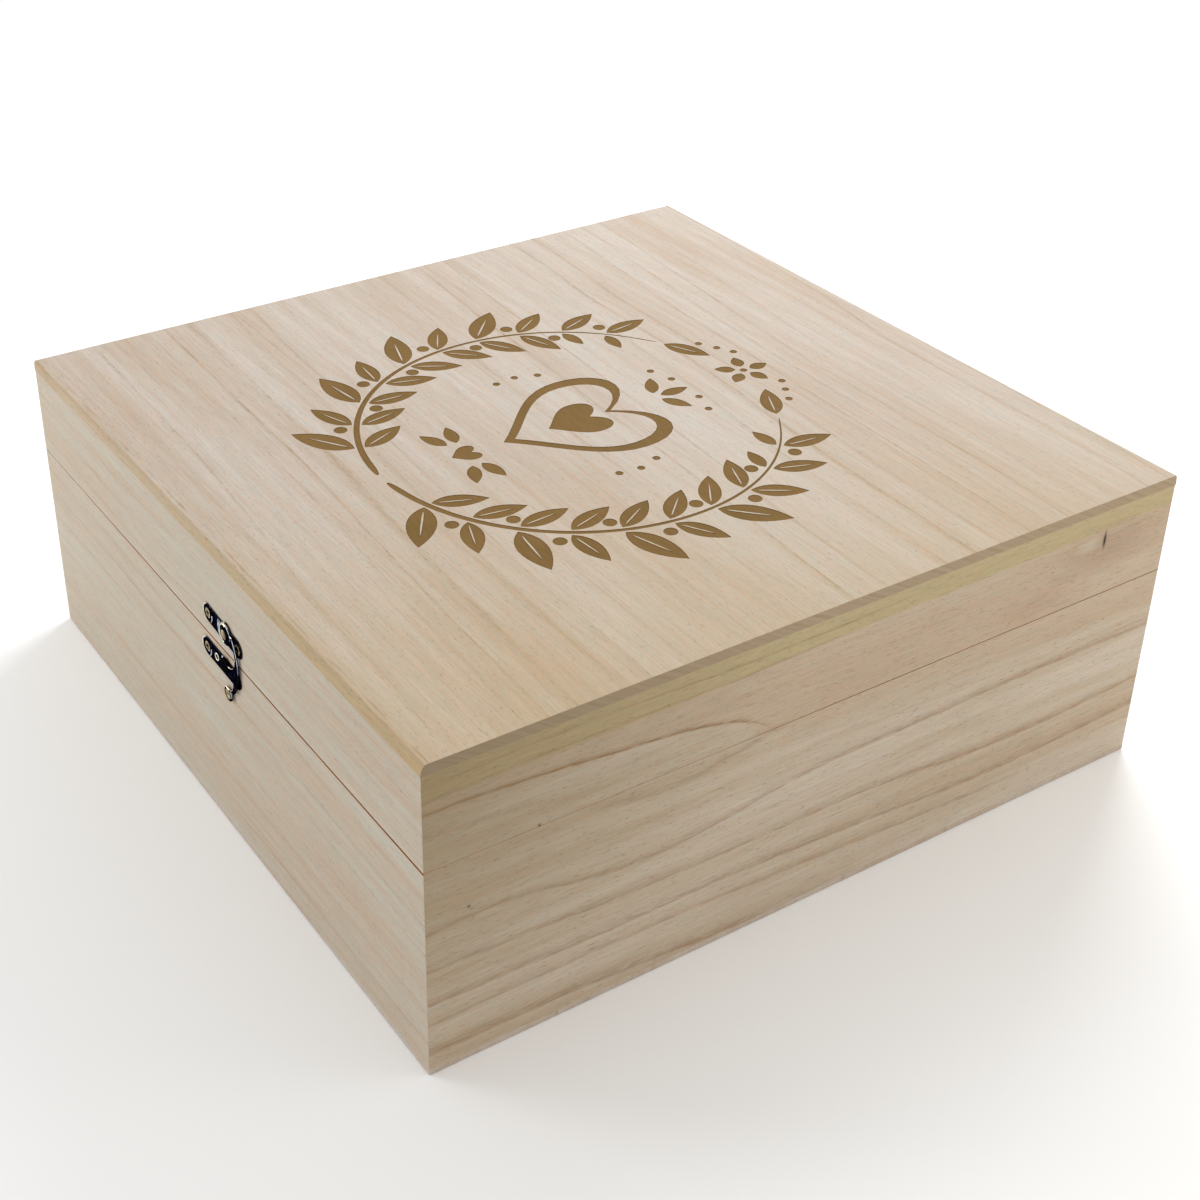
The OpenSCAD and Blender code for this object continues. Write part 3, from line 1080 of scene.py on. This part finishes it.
@dataclass
class Motifs:
    """Flat shapes for the engraving, each drawn once as a closed outline and then copied.

    All sizes are in mm; a shape stands across the lid's top face, ready to be cut out of it.
    """

    depth: float = 0.16
    height: float = 0.5

    def outline(
        self, name: str, loops: Sequence[Sequence[tuple[tuple[float, float], ...]]]
    ) -> bpy.types.Object:
        """Draws a filled flat shape from Bezier loops and gives it thickness.

        Args:
            name: The shape's name.
            loops: Closed loops of (knot, left handle, right handle); inner loops are holes.

        Returns:
            The shape, with its middle height at zero.
        """
        data = bpy.data.curves.new(name, "CURVE")
        data.dimensions = "2D"
        data.fill_mode = "BOTH"
        data.resolution_u = 10
        data.extrude = (self.depth + self.height) / 2 * MM
        for loop in loops:
            spline = data.splines.new("BEZIER")
            spline.bezier_points.add(len(loop) - 1)
            spline.use_cyclic_u = True
            for point, (knot, left, right) in zip(spline.bezier_points, loop):
                point.handle_left_type = point.handle_right_type = "FREE"
                point.co = Vector((*knot, 0)) * MM
                point.handle_left = Vector((*left, 0)) * MM
                point.handle_right = Vector((*right, 0)) * MM
        shape = new_object(name, data)
        activate(shape)
        bpy.ops.object.convert(target="MESH")
        shape = bpy.context.object
        edit_all(shape)
        bpy.ops.mesh.remove_doubles(threshold=0.005 * MM)
        bpy.ops.mesh.dissolve_limited(angle_limit=math.radians(1))
        bpy.ops.mesh.normals_make_consistent(inside=False)
        deselect()
        return shape

    def leaf(self, name: str, length: float, width: float, vein: float = 0.0) -> bpy.types.Object:
        """Draws a pointed leaf that lies along +X from its stalk.

        Args:
            name: The shape's name.
            length: Its length.
            width: Its width.
            vein: Width of its open vein, or 0 for none.

        Returns:
            The leaf.
        """
        w = width * 0.66
        loops = [
            [
                ((0, 0), (length * 0.22, -w), (length * 0.22, w)),
                ((length, 0), (length * 0.62, w), (length * 0.62, -w)),
            ]
        ]
        if vein:
            a, b = length * 0.12, length * 0.72
            loops.append(
                [
                    ((a, 0), (a, -vein / 2), (a, vein / 2)),
                    ((b, 0), (b * 0.8, vein / 2), (b * 0.8, -vein / 2)),
                ]
            )
        return self.outline(name, loops)

    def heart(self, name: str, size: float, hole: float = 0.0) -> bpy.types.Object:
        """Draws a heart around the origin.

        Args:
            name: The shape's name.
            size: Its width.
            hole: Width of the open heart inside it, or 0 for a solid one.

        Returns:
            The heart.
        """

        def loop(s: float) -> list[tuple[tuple[float, float], ...]]:
            """Returns the outline of a heart of width s."""
            return [
                ((0, 0.28 * s), (-0.22 * s, 0.66 * s), (0.22 * s, 0.66 * s)),
                ((0.5 * s, 0.2 * s), (0.5 * s, 0.52 * s), (0.5 * s, -0.1 * s)),
                ((0, -0.5 * s), (0.2 * s, -0.26 * s), (-0.2 * s, -0.26 * s)),
                ((-0.5 * s, 0.2 * s), (-0.5 * s, -0.1 * s), (-0.5 * s, 0.52 * s)),
            ]

        return self.outline(name, [loop(size)] + ([loop(hole)] if hole else []))

    def disc(self, name: str, radius: float) -> bpy.types.Object:
        """Draws a round berry or dot.

        Args:
            name: The shape's name.
            radius: Its radius.

        Returns:
            The disc.
        """
        r = radius
        # Handles of this length bend four curves into a circle.
        k = 0.5523 * r
        return self.outline(
            name,
            [
                [
                    ((r, 0), (r, -k), (r, k)),
                    ((0, r), (k, r), (-k, r)),
                    ((-r, 0), (-r, k), (-r, -k)),
                    ((0, -r), (-k, -r), (k, -r)),
                ]
            ],
        )

    def stem(
        self, name: str, radius: float, start: float, end: float, width: float
    ) -> bpy.types.Object:
        """Draws a curved stem that thins out towards its end.

        Args:
            name: The shape's name.
            radius: Radius of its arc, around the origin.
            start: Angle of its thick end in degrees.
            end: Angle of its thin end in degrees.
            width: Width of its thick end.

        Returns:
            The stem.
        """
        steps = 6
        turn = math.radians(end - start) / steps
        pull = 4 / 3 * math.tan(turn / 4)
        there, back = [], []
        for step in range(steps + 1):
            angle = math.radians(start) + turn * step
            out = Vector((math.cos(angle), math.sin(angle)))
            way = Vector((-out.y, out.x))
            half = width / 2 * (1 - 0.75 * step / steps)
            for loop, r, sign in ((there, radius + half, 1), (back, radius - half, -1)):
                knot = out * r
                arm = way * r * pull * sign
                loop.append((tuple(knot), tuple(knot - arm), tuple(knot + arm)))
        return self.outline(name, [there + back[::-1]])


@dataclass
class LidPanel:
    """The lid's top panel, rounded in front, with a wreath engraved by a beam."""

    sizes: BoxSizes
    front_round: float = 3.8 * MM
    left_share: tuple[float, float] = (0.25, 0.25)
    right_share: tuple[float, float] = (0.6, 1.0)
    back_round: float = 1.0 * MM
    edge_round: float = 0.35 * MM
    wreath_radius: float = 80.0
    wreath_centre: tuple[float, float] = (4.0, -6.0)

    def wreath(self) -> bpy.types.Object:
        """Lays out the engraving: two leafy branches around hearts, with dots and a blossom.

        Returns:
            The engraving as one cutter, in its place over the panel.
        """
        motifs = Motifs()
        pieces: list[bpy.types.Object] = []
        big = motifs.leaf("leaf_big", 27, 11, 1.0)
        mid = motifs.leaf("leaf_mid", 21, 8.5, 0.8)
        small = motifs.leaf("leaf_small", 13, 5.6)
        petal = motifs.leaf("petal", 8.5, 5.4)
        berry = motifs.disc("berry", 2.6)
        dot = motifs.disc("dot", 1.5)
        stem = motifs.stem("stem", self.wreath_radius, -82, 55, 2.6)
        heart = motifs.heart("heart_ring", 62, 52)
        core = motifs.heart("heart_core", 24)
        tiny = motifs.heart("heart_small", 11)
        originals = [big, mid, small, petal, berry, dot, stem, heart, core, tiny]

        def put(shape: bpy.types.Object, x: float, y: float, turn: float = 0.0) -> None:
            """Copies a shape to a place, and mirrors it to the other half.

            Args:
                shape: The shape.
                x: Its place to the right of the middle line in mm.
                y: Its place towards the back in mm.
                turn: Its turn in degrees.
            """
            matrix = Matrix.Translation((x * MM, y * MM, 0)) @ Matrix.Rotation(
                math.radians(turn), 4, "Z"
            )
            for mirror in (1, -1):
                if mirror == 1 or abs(x) > 0.01:
                    flip = Matrix.Diagonal((mirror, 1, 1, 1))
                    pieces.append(copy_of(shape, f"{shape.name}_{len(pieces)}", flip @ matrix))

        def fan(shape: bpy.types.Object, y: float, away: float, turns: Sequence[float]) -> None:
            """Copies a shape around a point on the middle line, pointing outwards.

            Args:
                shape: The shape.
                y: The point's place towards the back in mm.
                away: How far from the point each copy starts in mm.
                turns: The copies' turns in degrees.
            """
            for turn in turns:
                rad = math.radians(turn)
                spot = (away * math.cos(rad) * MM, (y + away * math.sin(rad)) * MM, 0)
                matrix = Matrix.Translation(spot) @ Matrix.Rotation(rad, 4, "Z")
                pieces.append(copy_of(shape, f"{shape.name}_{len(pieces)}", matrix))

        for mirror in (1, -1):
            pieces.append(copy_of(stem, f"branch_{mirror}", Matrix.Diagonal((mirror, 1, 1, 1))))
        radius = self.wreath_radius
        for step, angle in enumerate(range(-72, 58, 13)):
            rad = math.radians(angle)
            clear = 1.9 - 0.06 * step
            leaf_out = big if step % 2 == 0 and step < 8 else mid
            leaf_in = mid if step < 8 else small
            for leaf, away, lean in ((leaf_out, 1, -52), (leaf_in, -1, 50)):
                r = radius + away * clear
                put(leaf, r * math.cos(rad), r * math.sin(rad), angle + 90 + lean)
            between = math.radians(angle + 10.3)
            r = radius + (6.0 if step % 2 == 0 else -5.6)
            if step < 9:
                put(berry, r * math.cos(between), r * math.sin(between))
        tip = math.radians(63)
        put(mid, radius * math.cos(tip), radius * math.sin(tip), 63 + 90)
        # A heart hangs in the middle, with a sprig over it and dots beside it.
        put(heart, 0, 2)
        put(core, 0, 3)
        fan(small, 40, 3.2, (30, 90, 150))
        for x, y in ((9, 55), (19, 52), (40, 12), (43, 3), (42, -6)):
            put(dot, x, y)
        put(tiny, 0, -46)
        for x, y, turn in ((9, -44, 12), (9, -48, -24)):
            put(small, x, y, turn)
        # A blossom with five petals fills the gap at the top.
        fan(petal, 84, 3.2, (18, 90, 162, 234, 306))
        for x, y in ((0, 84), (15.5, 91), (22, 87.5), (29, 83.5)):
            put(dot, x, y)
        for original in originals:
            bpy.data.objects.remove(original)
        cutter = join("wreath_cutter", pieces)
        x, y = self.wreath_centre
        # Its middle is lifted so far that it reaches its own depth into the panel.
        lift = (motifs.height - motifs.depth) / 2
        spot = Vector((x, y, lift)) * MM + Vector((0, 0, self.sizes.top))
        cutter.data.transform(Matrix.Translation(spot))
        return cutter

    def build(
        self, wood: bpy.types.Material, end: bpy.types.Material, burnt: bpy.types.Material
    ) -> None:
        """Builds the panel and cuts the engraving.

        Args:
            wood: The finish of its faces.
            end: The finish of its sawn ends.
            burnt: The finish of the engraved places.
        """
        sizes = self.sizes
        half = Vector((sizes.width / 2, sizes.depth / 2, 0))
        low = Vector((-half.x, -half.y, sizes.panel_low))
        high = Vector((half.x, half.y, sizes.top))
        piece = block("lid_top_panel", low, high)
        near = 0.01 * MM

        def upper(edge: tuple[Vector, Vector], y: float) -> bool:
            """Tells whether an edge runs along the top at a given y."""
            return all(abs(p.z - high.z) < near and abs(p.y - y) < near for p in edge)

        def at_end(edge: tuple[Vector, Vector]) -> bool:
            """Tells whether an edge runs round the top of the left or right end."""
            a, b = edge
            outside = all(abs(abs(p.x) - half.x) < near for p in edge) and a.x * b.x > 0
            return outside and (a.z + b.z) / 2 > low.z + near and abs(a.y - b.y) > near

        round_edges(piece, self.front_round, 10, lambda e: upper(e, low.y))
        # The sander left the left end nearly sharp, and took less off the top at the right end.
        for corner, share in (
            (Vector((low.x, low.y, high.z)), self.left_share),
            (Vector((high.x, low.y, high.z)), self.right_share),
        ):
            for vertex in piece.data.vertices:
                away = vertex.co - corner
                if away.length < 1.01 * self.front_round:
                    vertex.co = corner + Vector((0, share[0] * away.y, share[1] * away.z))
        round_edges(piece, self.back_round, 4, lambda e: upper(e, high.y))
        round_edges(piece, self.edge_round, 2, at_end)
        paint(piece, 1, lambda f: abs(f[1].x) > 0.7)
        dress(piece, wood, end, burnt)
        cutter = self.wreath()
        dress(cutter, burnt)
        cut_out(piece, cutter)
        place(piece, "lid", "wood_lid_panel", "lid_panel", angle=30)


@dataclass
class BasePanel:
    """The thin panel glued under the base."""

    sizes: BoxSizes
    edge_round: float = 0.3 * MM

    def build(self, wood: bpy.types.Material) -> None:
        """Builds the panel.

        Args:
            wood: Its finish.
        """
        half = Vector((self.sizes.width / 2, self.sizes.depth / 2, 0))
        low = Vector((-half.x, -half.y, 0))
        piece = block("base_bottom_panel", low, half + Vector((0, 0, self.sizes.foot)))
        round_edges(piece, self.edge_round, 2, lambda e: all(p.z < 0.1 * MM for p in e))
        round_edges(piece, self.edge_round, 2, lambda e: abs(e[0].z - e[1].z) > 1 * MM)
        dress(piece, wood)
        place(piece, "base", "wood_base_panel", "base_panel", angle=35)


# ---------------------------------------------------------------- hardware


@dataclass
class Hardware:
    """The clasp and the two hinges, with every stamped edge softly rounded; the hinges' edges are
    rubbed bright, the clasp's carry painted highlights and painted bluish glints.
    """

    bronze: bpy.types.Material
    # Rubbed bronze on the hinges' edges; on the clasp it is a painted highlight on the edges that
    # face the light.
    rim: bpy.types.Material
    brass: bpy.types.Material
    # Blackened bronze for the button; in the screws' crosses and round the rivet's head it is
    # painted shade.
    black: bpy.types.Material
    # A painted bluish glint, standing for reflections on the clasp's beads and edges.
    painted_glint: bpy.types.Material
    plate_round: float = 3.85 * MM
    # The button's rim is set back by half its own width, so that it ends flush with the CAD face.
    button_rim: float = 0.32

    def softened(
        self, node: str, name: str, width: float, segments: int = 3, angle: float = 35
    ) -> bpy.types.Object:
        """Copies a CAD node and rounds its edges.

        Args:
            node: The CAD node.
            name: The piece's name.
            width: Width of the rounding in mm.
            segments: Steps across the rounding.
            angle: Edges sharper than this many degrees are rounded.

        Returns:
            The rounded piece.
        """
        piece = merged_copy(node, name)
        apply_modifier(
            piece,
            "BEVEL",
            width=width * MM,
            segments=segments,
            limit_method="ANGLE",
            angle_limit=math.radians(angle),
            use_clamp_overlap=False,
            harden_normals=False,
        )
        return piece

    def crossheads(self, node: str, body: str, outward: int) -> None:
        """Builds the screws of one CAD node, with painted shade in their crosses.

        Args:
            node: The CAD node.
            body: The CAD body.
            outward: 1 if the heads face +Y, else -1.
        """
        screws = self.softened(node, f"{node}_crosshead", 0.15, 2)
        ys = [v.co.y * outward for v in screws.data.vertices]
        head, point = max(ys), min(ys)
        axes: list[Vector] = []
        for vertex in screws.data.vertices:
            flat = Vector((vertex.co.x, 0, vertex.co.z))
            at_point = vertex.co.y * outward < point + 0.02 * MM
            if at_point and all((flat - axis).length > 3 * MM for axis in axes):
                axes.append(flat)

        def in_cross(face: tuple[Vector, Vector]) -> bool:
            """Tells whether a face lies in the cross of a screw's head."""
            spot, _ = face
            off = min((Vector((spot.x, 0, spot.z)) - axis).length for axis in axes)
            return off < 1.5 * MM and 0.01 * MM < head - spot.y * outward < 0.42 * MM

        # Painted shade: the faces inside each cross are black.
        paint(screws, 1, in_cross)
        dress(screws, self.brass, self.black)
        place(screws, body, "worn_brass", node)

    @staticmethod
    def facing(x: float, z: float, least: float) -> PairTest:
        """Makes a test for faces of rounded edges that look one way across the front.

        Args:
            x: The way, to the right.
            z: The way, upward.
            least: The smallest cosine between the face's way and this one.

        Returns:
            The test.
        """
        way = Vector((x, 0, z)).normalized()

        def test(face: tuple[Vector, Vector]) -> bool:
            """Tells whether a face of a rounded edge looks that way.

            Args:
                face: The face's centre and normal.

            Returns:
                True if it does.
            """
            normal = face[1]
            flat = Vector((normal.x, 0, normal.z))
            rounded = flat.length > 0.25 and abs(normal.y) > 0.05
            return rounded and flat.dot(way) > least * flat.length

        return test

    def bead(
        self,
        name: str,
        finish: bpy.types.Material,
        centre: Vector,
        radius: float,
        thick: float,
        cuts: Sequence[tuple[float, tuple[float, float]]] = (),
        flat: float = 1.0,
    ) -> bpy.types.Object:
        """Rolls a raised ring around the Y axis and trims it with planes.

        Args:
            name: The bead's name.
            finish: Its finish.
            centre: Its middle.
            radius: Radius of the ring in mm.
            thick: Half its width in mm.
            cuts: Planes that trim it, each as an offset in mm along an outward way in X and Z.
            flat: Its height as a share of its width.

        Returns:
            The bead.
        """
        deselect()
        bpy.ops.mesh.primitive_torus_add(
            major_radius=radius * MM,
            minor_radius=thick * MM,
            major_segments=64,
            minor_segments=12,
            location=centre,
            rotation=(math.pi / 2, 0, 0),
        )
        piece = bpy.context.object
        piece.name = piece.data.name = name
        piece.scale.z = flat
        settle(piece)
        for offset, (x, z) in cuts:
            way = Vector((x, 0, z)).normalized()
            trim(piece, centre + way * offset * MM, way)
        dress(piece, finish)
        return piece

    def middle(self, node: str, set_back: float = 0.0) -> Vector:
        """Finds the middle of a CAD node's front.

        Args:
            node: The CAD node.
            set_back: How far it is moved into the piece in mm.

        Returns:
            The place.
        """
        low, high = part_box(node)
        return Vector(((low.x + high.x) / 2, low.y + set_back * MM, (low.z + high.z) / 2))

    def clasp(self) -> None:
        """Builds the two plates, the hook with its rivet, the keeper's button and the screws."""
        self.plates()
        self.swing_hook()
        self.rivet()
        self.button()
        self.crossheads("latch_screws", "lid", -1)
        self.crossheads("keeper_screws", "base", -1)

    def plates(self) -> None:
        """Builds the latch plate and the keeper plate with their stamped beads, which carry painted
        highlights and painted bluish glints.
        """
        rivet_spot = self.middle("latch_rivet")
        button_spot = self.middle("keeper_button")
        plate_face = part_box("latch_plate")[0].y
        # A wide collar is stamped up beside the hook's eye, and a small loop beside the button. The
        # collar and the ring round the button are a painted bluish glint; the loop is all in the
        # bright rim finish.
        across = (0.087, 0.996)
        collar = self.bead(
            "latch_collar",
            self.painted_glint,
            Vector((rivet_spot.x, plate_face + 0.1 * MM, rivet_spot.z)),
            radius=6.2,
            thick=0.85,
            cuts=((2.3, across), (4.3, (-across[0], -across[1])), (-3.4, (1, 0))),
            flat=0.4,
        )
        loop = self.bead(
            "keeper_loop",
            self.rim,
            Vector((button_spot.x - 8 * MM, plate_face + 0.1 * MM, button_spot.z - 1.4 * MM)),
            radius=1.35,
            thick=0.22,
        )
        ring = self.bead(
            "keeper_collar",
            self.painted_glint,
            Vector((button_spot.x, plate_face + 0.08 * MM, button_spot.z)),
            radius=3.5,
            thick=0.4,
            cuts=((-0.8, (1, 0)), (1.6, (0, -1)), (2.2, (0, 1))),
            flat=0.5,
        )
        for node, body, extras in (
            ("latch_plate", "lid", [collar]),
            ("keeper_plate", "base", [loop, ring]),
        ):
            plate = self.softened(node, f"{node}_blank", 0.32)
            # Painted highlight: only the rounded edges that face up and to the left take the bright
            # rim.
            paint(plate, 1, self.facing(-0.75, 0.66, 0.8))
            dress(plate, self.bronze, self.rim)
            end = min((v.co for v in plate.data.vertices), key=lambda co: co.x)
            # A fine rim is stamped up round the left end; its upper left is a painted highlight in
            # the bright rim finish, its lower right a painted bluish glint.
            for finish, cuts in (
                (self.rim, ((-0.9, (1, 0)), (0.6, (0, -1)))),
                (self.painted_glint, ((-2.5, (-1, 0)), (0.6, (0, 1)))),
            ):
                extras.append(
                    self.bead(
                        f"{node}_tip_rim",
                        finish,
                        Vector((end.x + self.plate_round, plate_face + 0.04 * MM, end.z)),
                        radius=self.plate_round / MM - 0.3,
                        thick=0.28,
                        cuts=cuts,
                        flat=0.8,
                    )
                )
            plate = join(f"{node}_stamped", [plate, *extras])
            place(plate, body, "antique_bronze", node)

    def swing_hook(self) -> None:
        """Builds the hook with the rim of its eye and the bowl of its finger lift; its edges carry
        a painted highlight on the upper left and a painted bluish glint on the right.
        """
        rivet_spot = self.middle("latch_rivet")
        hook_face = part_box("latch_hook")[0].y
        hook = self.softened("latch_hook", "latch_hook_blank", 0.3, 4)
        # Painted highlight: rounded edges that face up and to the left take the bright rim.
        paint(hook, 1, self.facing(-0.5, 0.87, 0.4))
        # Painted bluish glint on the rounded edges that face right and up.
        wear_and_glint = self.facing(0.85, 0.5, 0.8)
        paint(hook, 3, lambda f: wear_and_glint(f) and 0.3 < abs(f[1].y) < 0.9)
        dress(hook, self.bronze, self.rim, self.brass, self.painted_glint)
        self.hollow_lift(hook)
        # The eye's rim bead is cut away on the lower right; its bright finish is a painted
        # highlight.
        eye = self.bead(
            "hook_eye_rim",
            self.rim,
            Vector((rivet_spot.x, hook_face + 0.12 * MM, rivet_spot.z)),
            radius=3.75,
            thick=0.26,
            cuts=((0.2, (0.97, -0.24)),),
        )
        hook = join("latch_hook_cast", [hook, eye])
        place(hook, "hook", "antique_bronze", "latch_hook")

    def rivet(self) -> None:
        """Builds the rivet with its domed brass head, and its flange painted black as the shade of
        the groove round the head.
        """
        middle = self.middle("latch_rivet")

        def flange(face: tuple[Vector, Vector]) -> bool:
            """Tells whether a face lies outside the head."""
            away = face[0] - middle
            return math.hypot(away.x, away.z) > 1.75 * MM

        rivet = self.softened("latch_rivet", "latch_rivet_domed", 0.1)
        # Painted shade: the flange outside the head is black.
        paint(rivet, 1, flange)
        dress(rivet, self.brass, self.black)
        place(rivet, "lid", "worn_brass", "latch_rivet")

    def button(self) -> None:
        """Builds the keeper's black button, with a painted bluish glint on its rim."""
        knob = self.softened("keeper_button", "keeper_button_pressed", 0.14)
        dress(knob, self.black)
        spot = self.middle("keeper_button", self.button_rim)
        # The rim bead is cut away on the lower right; its bluish finish is a painted glint.
        cuts = ((0.6, (0.75, -0.66)),)
        ring = self.bead("button_rim", self.painted_glint, spot, 2.25, self.button_rim, cuts)
        knob = join("keeper_button_domed", [knob, ring])
        place(knob, "base", "antique_bronze", "keeper_button")

    def hollow_lift(self, hook: bpy.types.Object) -> None:
        """Hollows the finger lift at the hook's lower end into a shallow brass bowl.

        Args:
            hook: The hook.
        """
        low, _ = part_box("latch_hook")
        # The disc's radius is 3 mm; a ball of 5 mm sinks 0.42 mm into its middle.
        disc, ball, reach = 3 * MM, 5.0, 0.42
        lift = [v.co for v in hook.data.vertices if v.co.z < low.z + disc]
        x = sum(co.x for co in lift) / len(lift)
        deselect()
        bpy.ops.mesh.primitive_uv_sphere_add(
            segments=48,
            ring_count=24,
            radius=ball * MM,
            location=(x, low.y - (ball - reach) * MM, low.z + disc),
        )
        cutter = bpy.context.object
        settle(cutter)
        dress(cutter, self.brass)
        cut_out(hook, cutter)

    def hinges(self) -> None:
        """Builds the two butt hinges at the back, with their pins and screws."""
        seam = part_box("hinge_left_pin")[0].z
        for hand in ("left", "right"):
            for leaf, body in (("base_leaf", "base"), ("lid_leaf", "lid")):
                node = f"hinge_{hand}_{leaf}"
                piece = self.softened(node, f"{node}_stamped", 0.12, 2)
                paint(piece, 1, lambda f: 0.1 < abs(f[1].y) < 0.95 and abs(f[0].z - seam) > 3 * MM)
                dress(piece, self.bronze, self.rim)
                place(piece, body, "antique_bronze", node)
            node = f"hinge_{hand}_pin"
            pin = self.softened(node, f"{node}_peened", 0.15)
            dress(pin, self.brass)
            place(pin, "base", "worn_brass", node)
        self.crossheads("hinge_base_screws", "base", 1)
        self.crossheads("hinge_lid_screws", "lid", 1)


# ---------------------------------------------------------------- studio


@dataclass(frozen=True)
class StudioLight:
    """One soft square light, turned to the middle of the box."""

    name: str
    place: tuple[float, float, float]
    size: float
    power: float
    colour: str
    aim: tuple[float, float, float] = (0, 0, 0.06)

    def build(self) -> None:
        """Adds the light."""
        data = bpy.data.lights.new(self.name, "AREA")
        data.shape = "SQUARE"
        data.size = self.size
        data.energy = self.power
        data.color = linear(self.colour)[:3]
        lamp = new_object(self.name, data)
        lamp.location = self.place
        way = Vector(self.aim) - lamp.location
        lamp.rotation_euler = way.to_track_quat("-Z", "Y").to_euler()


@dataclass
class Studio:
    """A pale floor, soft light and the camera at the photographed angle."""

    lens: float = 57.5649
    shift: tuple[float, float] = (0.063158, -0.067312)
    camera_place: tuple[float, float, float] = (0.535043, -0.368027, 0.465024)
    camera_turn: tuple[float, float, float] = (59.1605, -0.2213, 57.3283)
    ambient: float = 0.8

    def build(self) -> None:
        """Builds the floor, the world, the lights and the camera."""
        self.camera()
        self.floor()
        self.world()
        for light in (
            StudioLight("back_left_light", (-0.45, 0.7, 0.7), 0.5, 6.9, "#fafcff"),
            StudioLight("front_left_light", (-0.8, -0.9, 0.4), 0.5, 4.3, "#fafcff"),
            StudioLight("right_light", (0.55, 0.5, 0.3), 0.3, 0.68, "#fff2e0"),
        ):
            light.build()
        bpy.context.scene.view_settings.view_transform = "Standard"

    def camera(self) -> None:
        """Adds the camera; its shift stands for a photograph that was cropped off its middle."""
        data = bpy.data.cameras.new("camera")
        data.sensor_width = 36
        data.lens = self.lens
        data.shift_x, data.shift_y = self.shift
        data.clip_start, data.clip_end = 0.01, 30
        camera = new_object("camera", data)
        camera.location = self.camera_place
        camera.rotation_euler = [math.radians(a) for a in self.camera_turn]
        bpy.context.scene.camera = camera

    def floor(self) -> None:
        """Adds the floor: matt white paper with a faint tooth."""
        deselect()
        bpy.ops.mesh.primitive_plane_add(size=12, location=(0, 0, -0.2 * MM))
        floor = bpy.context.object
        floor.name = "floor"
        material, tree, shader = new_material("matt_white_paper")
        coords = add(tree, "TexCoord").outputs["Object"]
        tooth = add(tree, "TexNoise", {"Vector": coords, "Scale": 900.0})
        bump = add(tree, "Bump", {"Height": tooth, "Strength": 0.05, "Distance": 0.1 * MM})
        finish = {"Base Color": "#fbfbfa", "Roughness": 0.95, "Normal": bump}
        feed(tree, shader, {**finish, "Specular IOR Level": 0.0})
        floor.data.materials.append(material)
        settle(floor)

    def world(self) -> None:
        """Sets an even pale surround; the camera and shiny metal see it as plain white."""
        world = bpy.data.worlds.new("studio")
        bpy.context.scene.world = world
        world.use_nodes = True
        tree = world.node_tree
        rays = add(tree, "LightPath").outputs
        seen = rays["Is Camera Ray"]
        for kind in ("Is Glossy Ray", "Is Transmission Ray"):
            seen = add(tree, "Math", {0: seen, 1: rays[kind]}, operation="MAXIMUM")
        level = add(tree, "MapRange", {0: seen, 3: self.ambient, 4: 1.0})
        feed(tree, tree.nodes["Background"], {"Color": (1, 1, 1, 1), "Strength": level})


def main() -> None:
    """Builds every class in order."""
    logging.basicConfig(level=logging.INFO, format="%(name)s %(message)s")
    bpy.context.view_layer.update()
    sizes = BoxSizes.from_frame()
    Studio().build()
    woods = {
        Side.FRONT: PaleWood(
            "paulownia_front", Grain.ALONG_X_UPRIGHT, 40, "#bcb5a8", "#bba996", ring_strength=0.32
        ),
        Side.RIGHT: SideWood("paulownia_right", Grain.ALONG_Y_UPRIGHT, 90, ring_strength=0.1),
        Side.BACK: PaleWood("paulownia_back", Grain.ALONG_X_UPRIGHT, 140),
        Side.LEFT: PaleWood("paulownia_left", Grain.ALONG_Y_UPRIGHT, 190),
    }
    Carcass(sizes).build(
        {side: wood.build() for side, wood in woods.items()},
        ToneFinish("fine_sawn_wood", "#c1ab90", "#ad9476", 14, 0.6).build(),
        # Saw scorch on the arris, and also painted shade of the seam.
        ToneFinish("saw_scorch_and_seam_shade", "#955c2e", "#724722").build(),
    )
    LidPanel(sizes).build(
        LidTopWood(
            "paulownia_lid", Grain.ALONG_X_FLAT, 240, ring_slope=0.05, ring_strength=0.65
        ).build(),
        EndGrainWood(
            "paulownia_end_grain", Grain.END_OF_X, 290, pale="#a9967c", line="#9b866b"
        ).build(),
        ToneFinish("beam_scorched_wood", "#7e6034", "#72582c").build(),
    )
    BasePanel(sizes).build(PaleWood("paulownia_foot", Grain.ALONG_X_FLAT, 340).build())
    hardware = Hardware(
        bronze=AgedMetal(
            "antique_bronze_skin", "#1b1a1e", "#443b31", 0.3, (0.2, 0.4), "#9497a9"
        ).build(),
        # Rubbed bronze on the hinges; on the clasp this bright rim is a painted highlight.
        rim=AgedMetal("rubbed_bronze_rim_and_highlight", "#b9b09a", "#efe8d4", 0.8, (0.15, 0.32)).build(),
        brass=AgedMetal("worn_brass_skin", "#5d4d31", "#b8a471", 0.6, (0.2, 0.4)).build(),
        # Blackened bronze for the button, and painted shade in the screws' crosses and round the
        # rivet's head.
        black=AgedMetal(
            "blackened_bronze_and_painted_shade", "#100f11", "#2b2622", 0.2, (0.2, 0.4), "#a0a2a8"
        ).build(),
        # A painted bluish glint: reflections painted onto the clasp.
        painted_glint=AgedMetal("painted_bluish_glint", "#7f8aa3", "#ccd6e8", 0.6, (0.15, 0.3)).build(),
    )
    hardware.clasp()
    hardware.hinges()


if __name__ == "__main__":
    main()
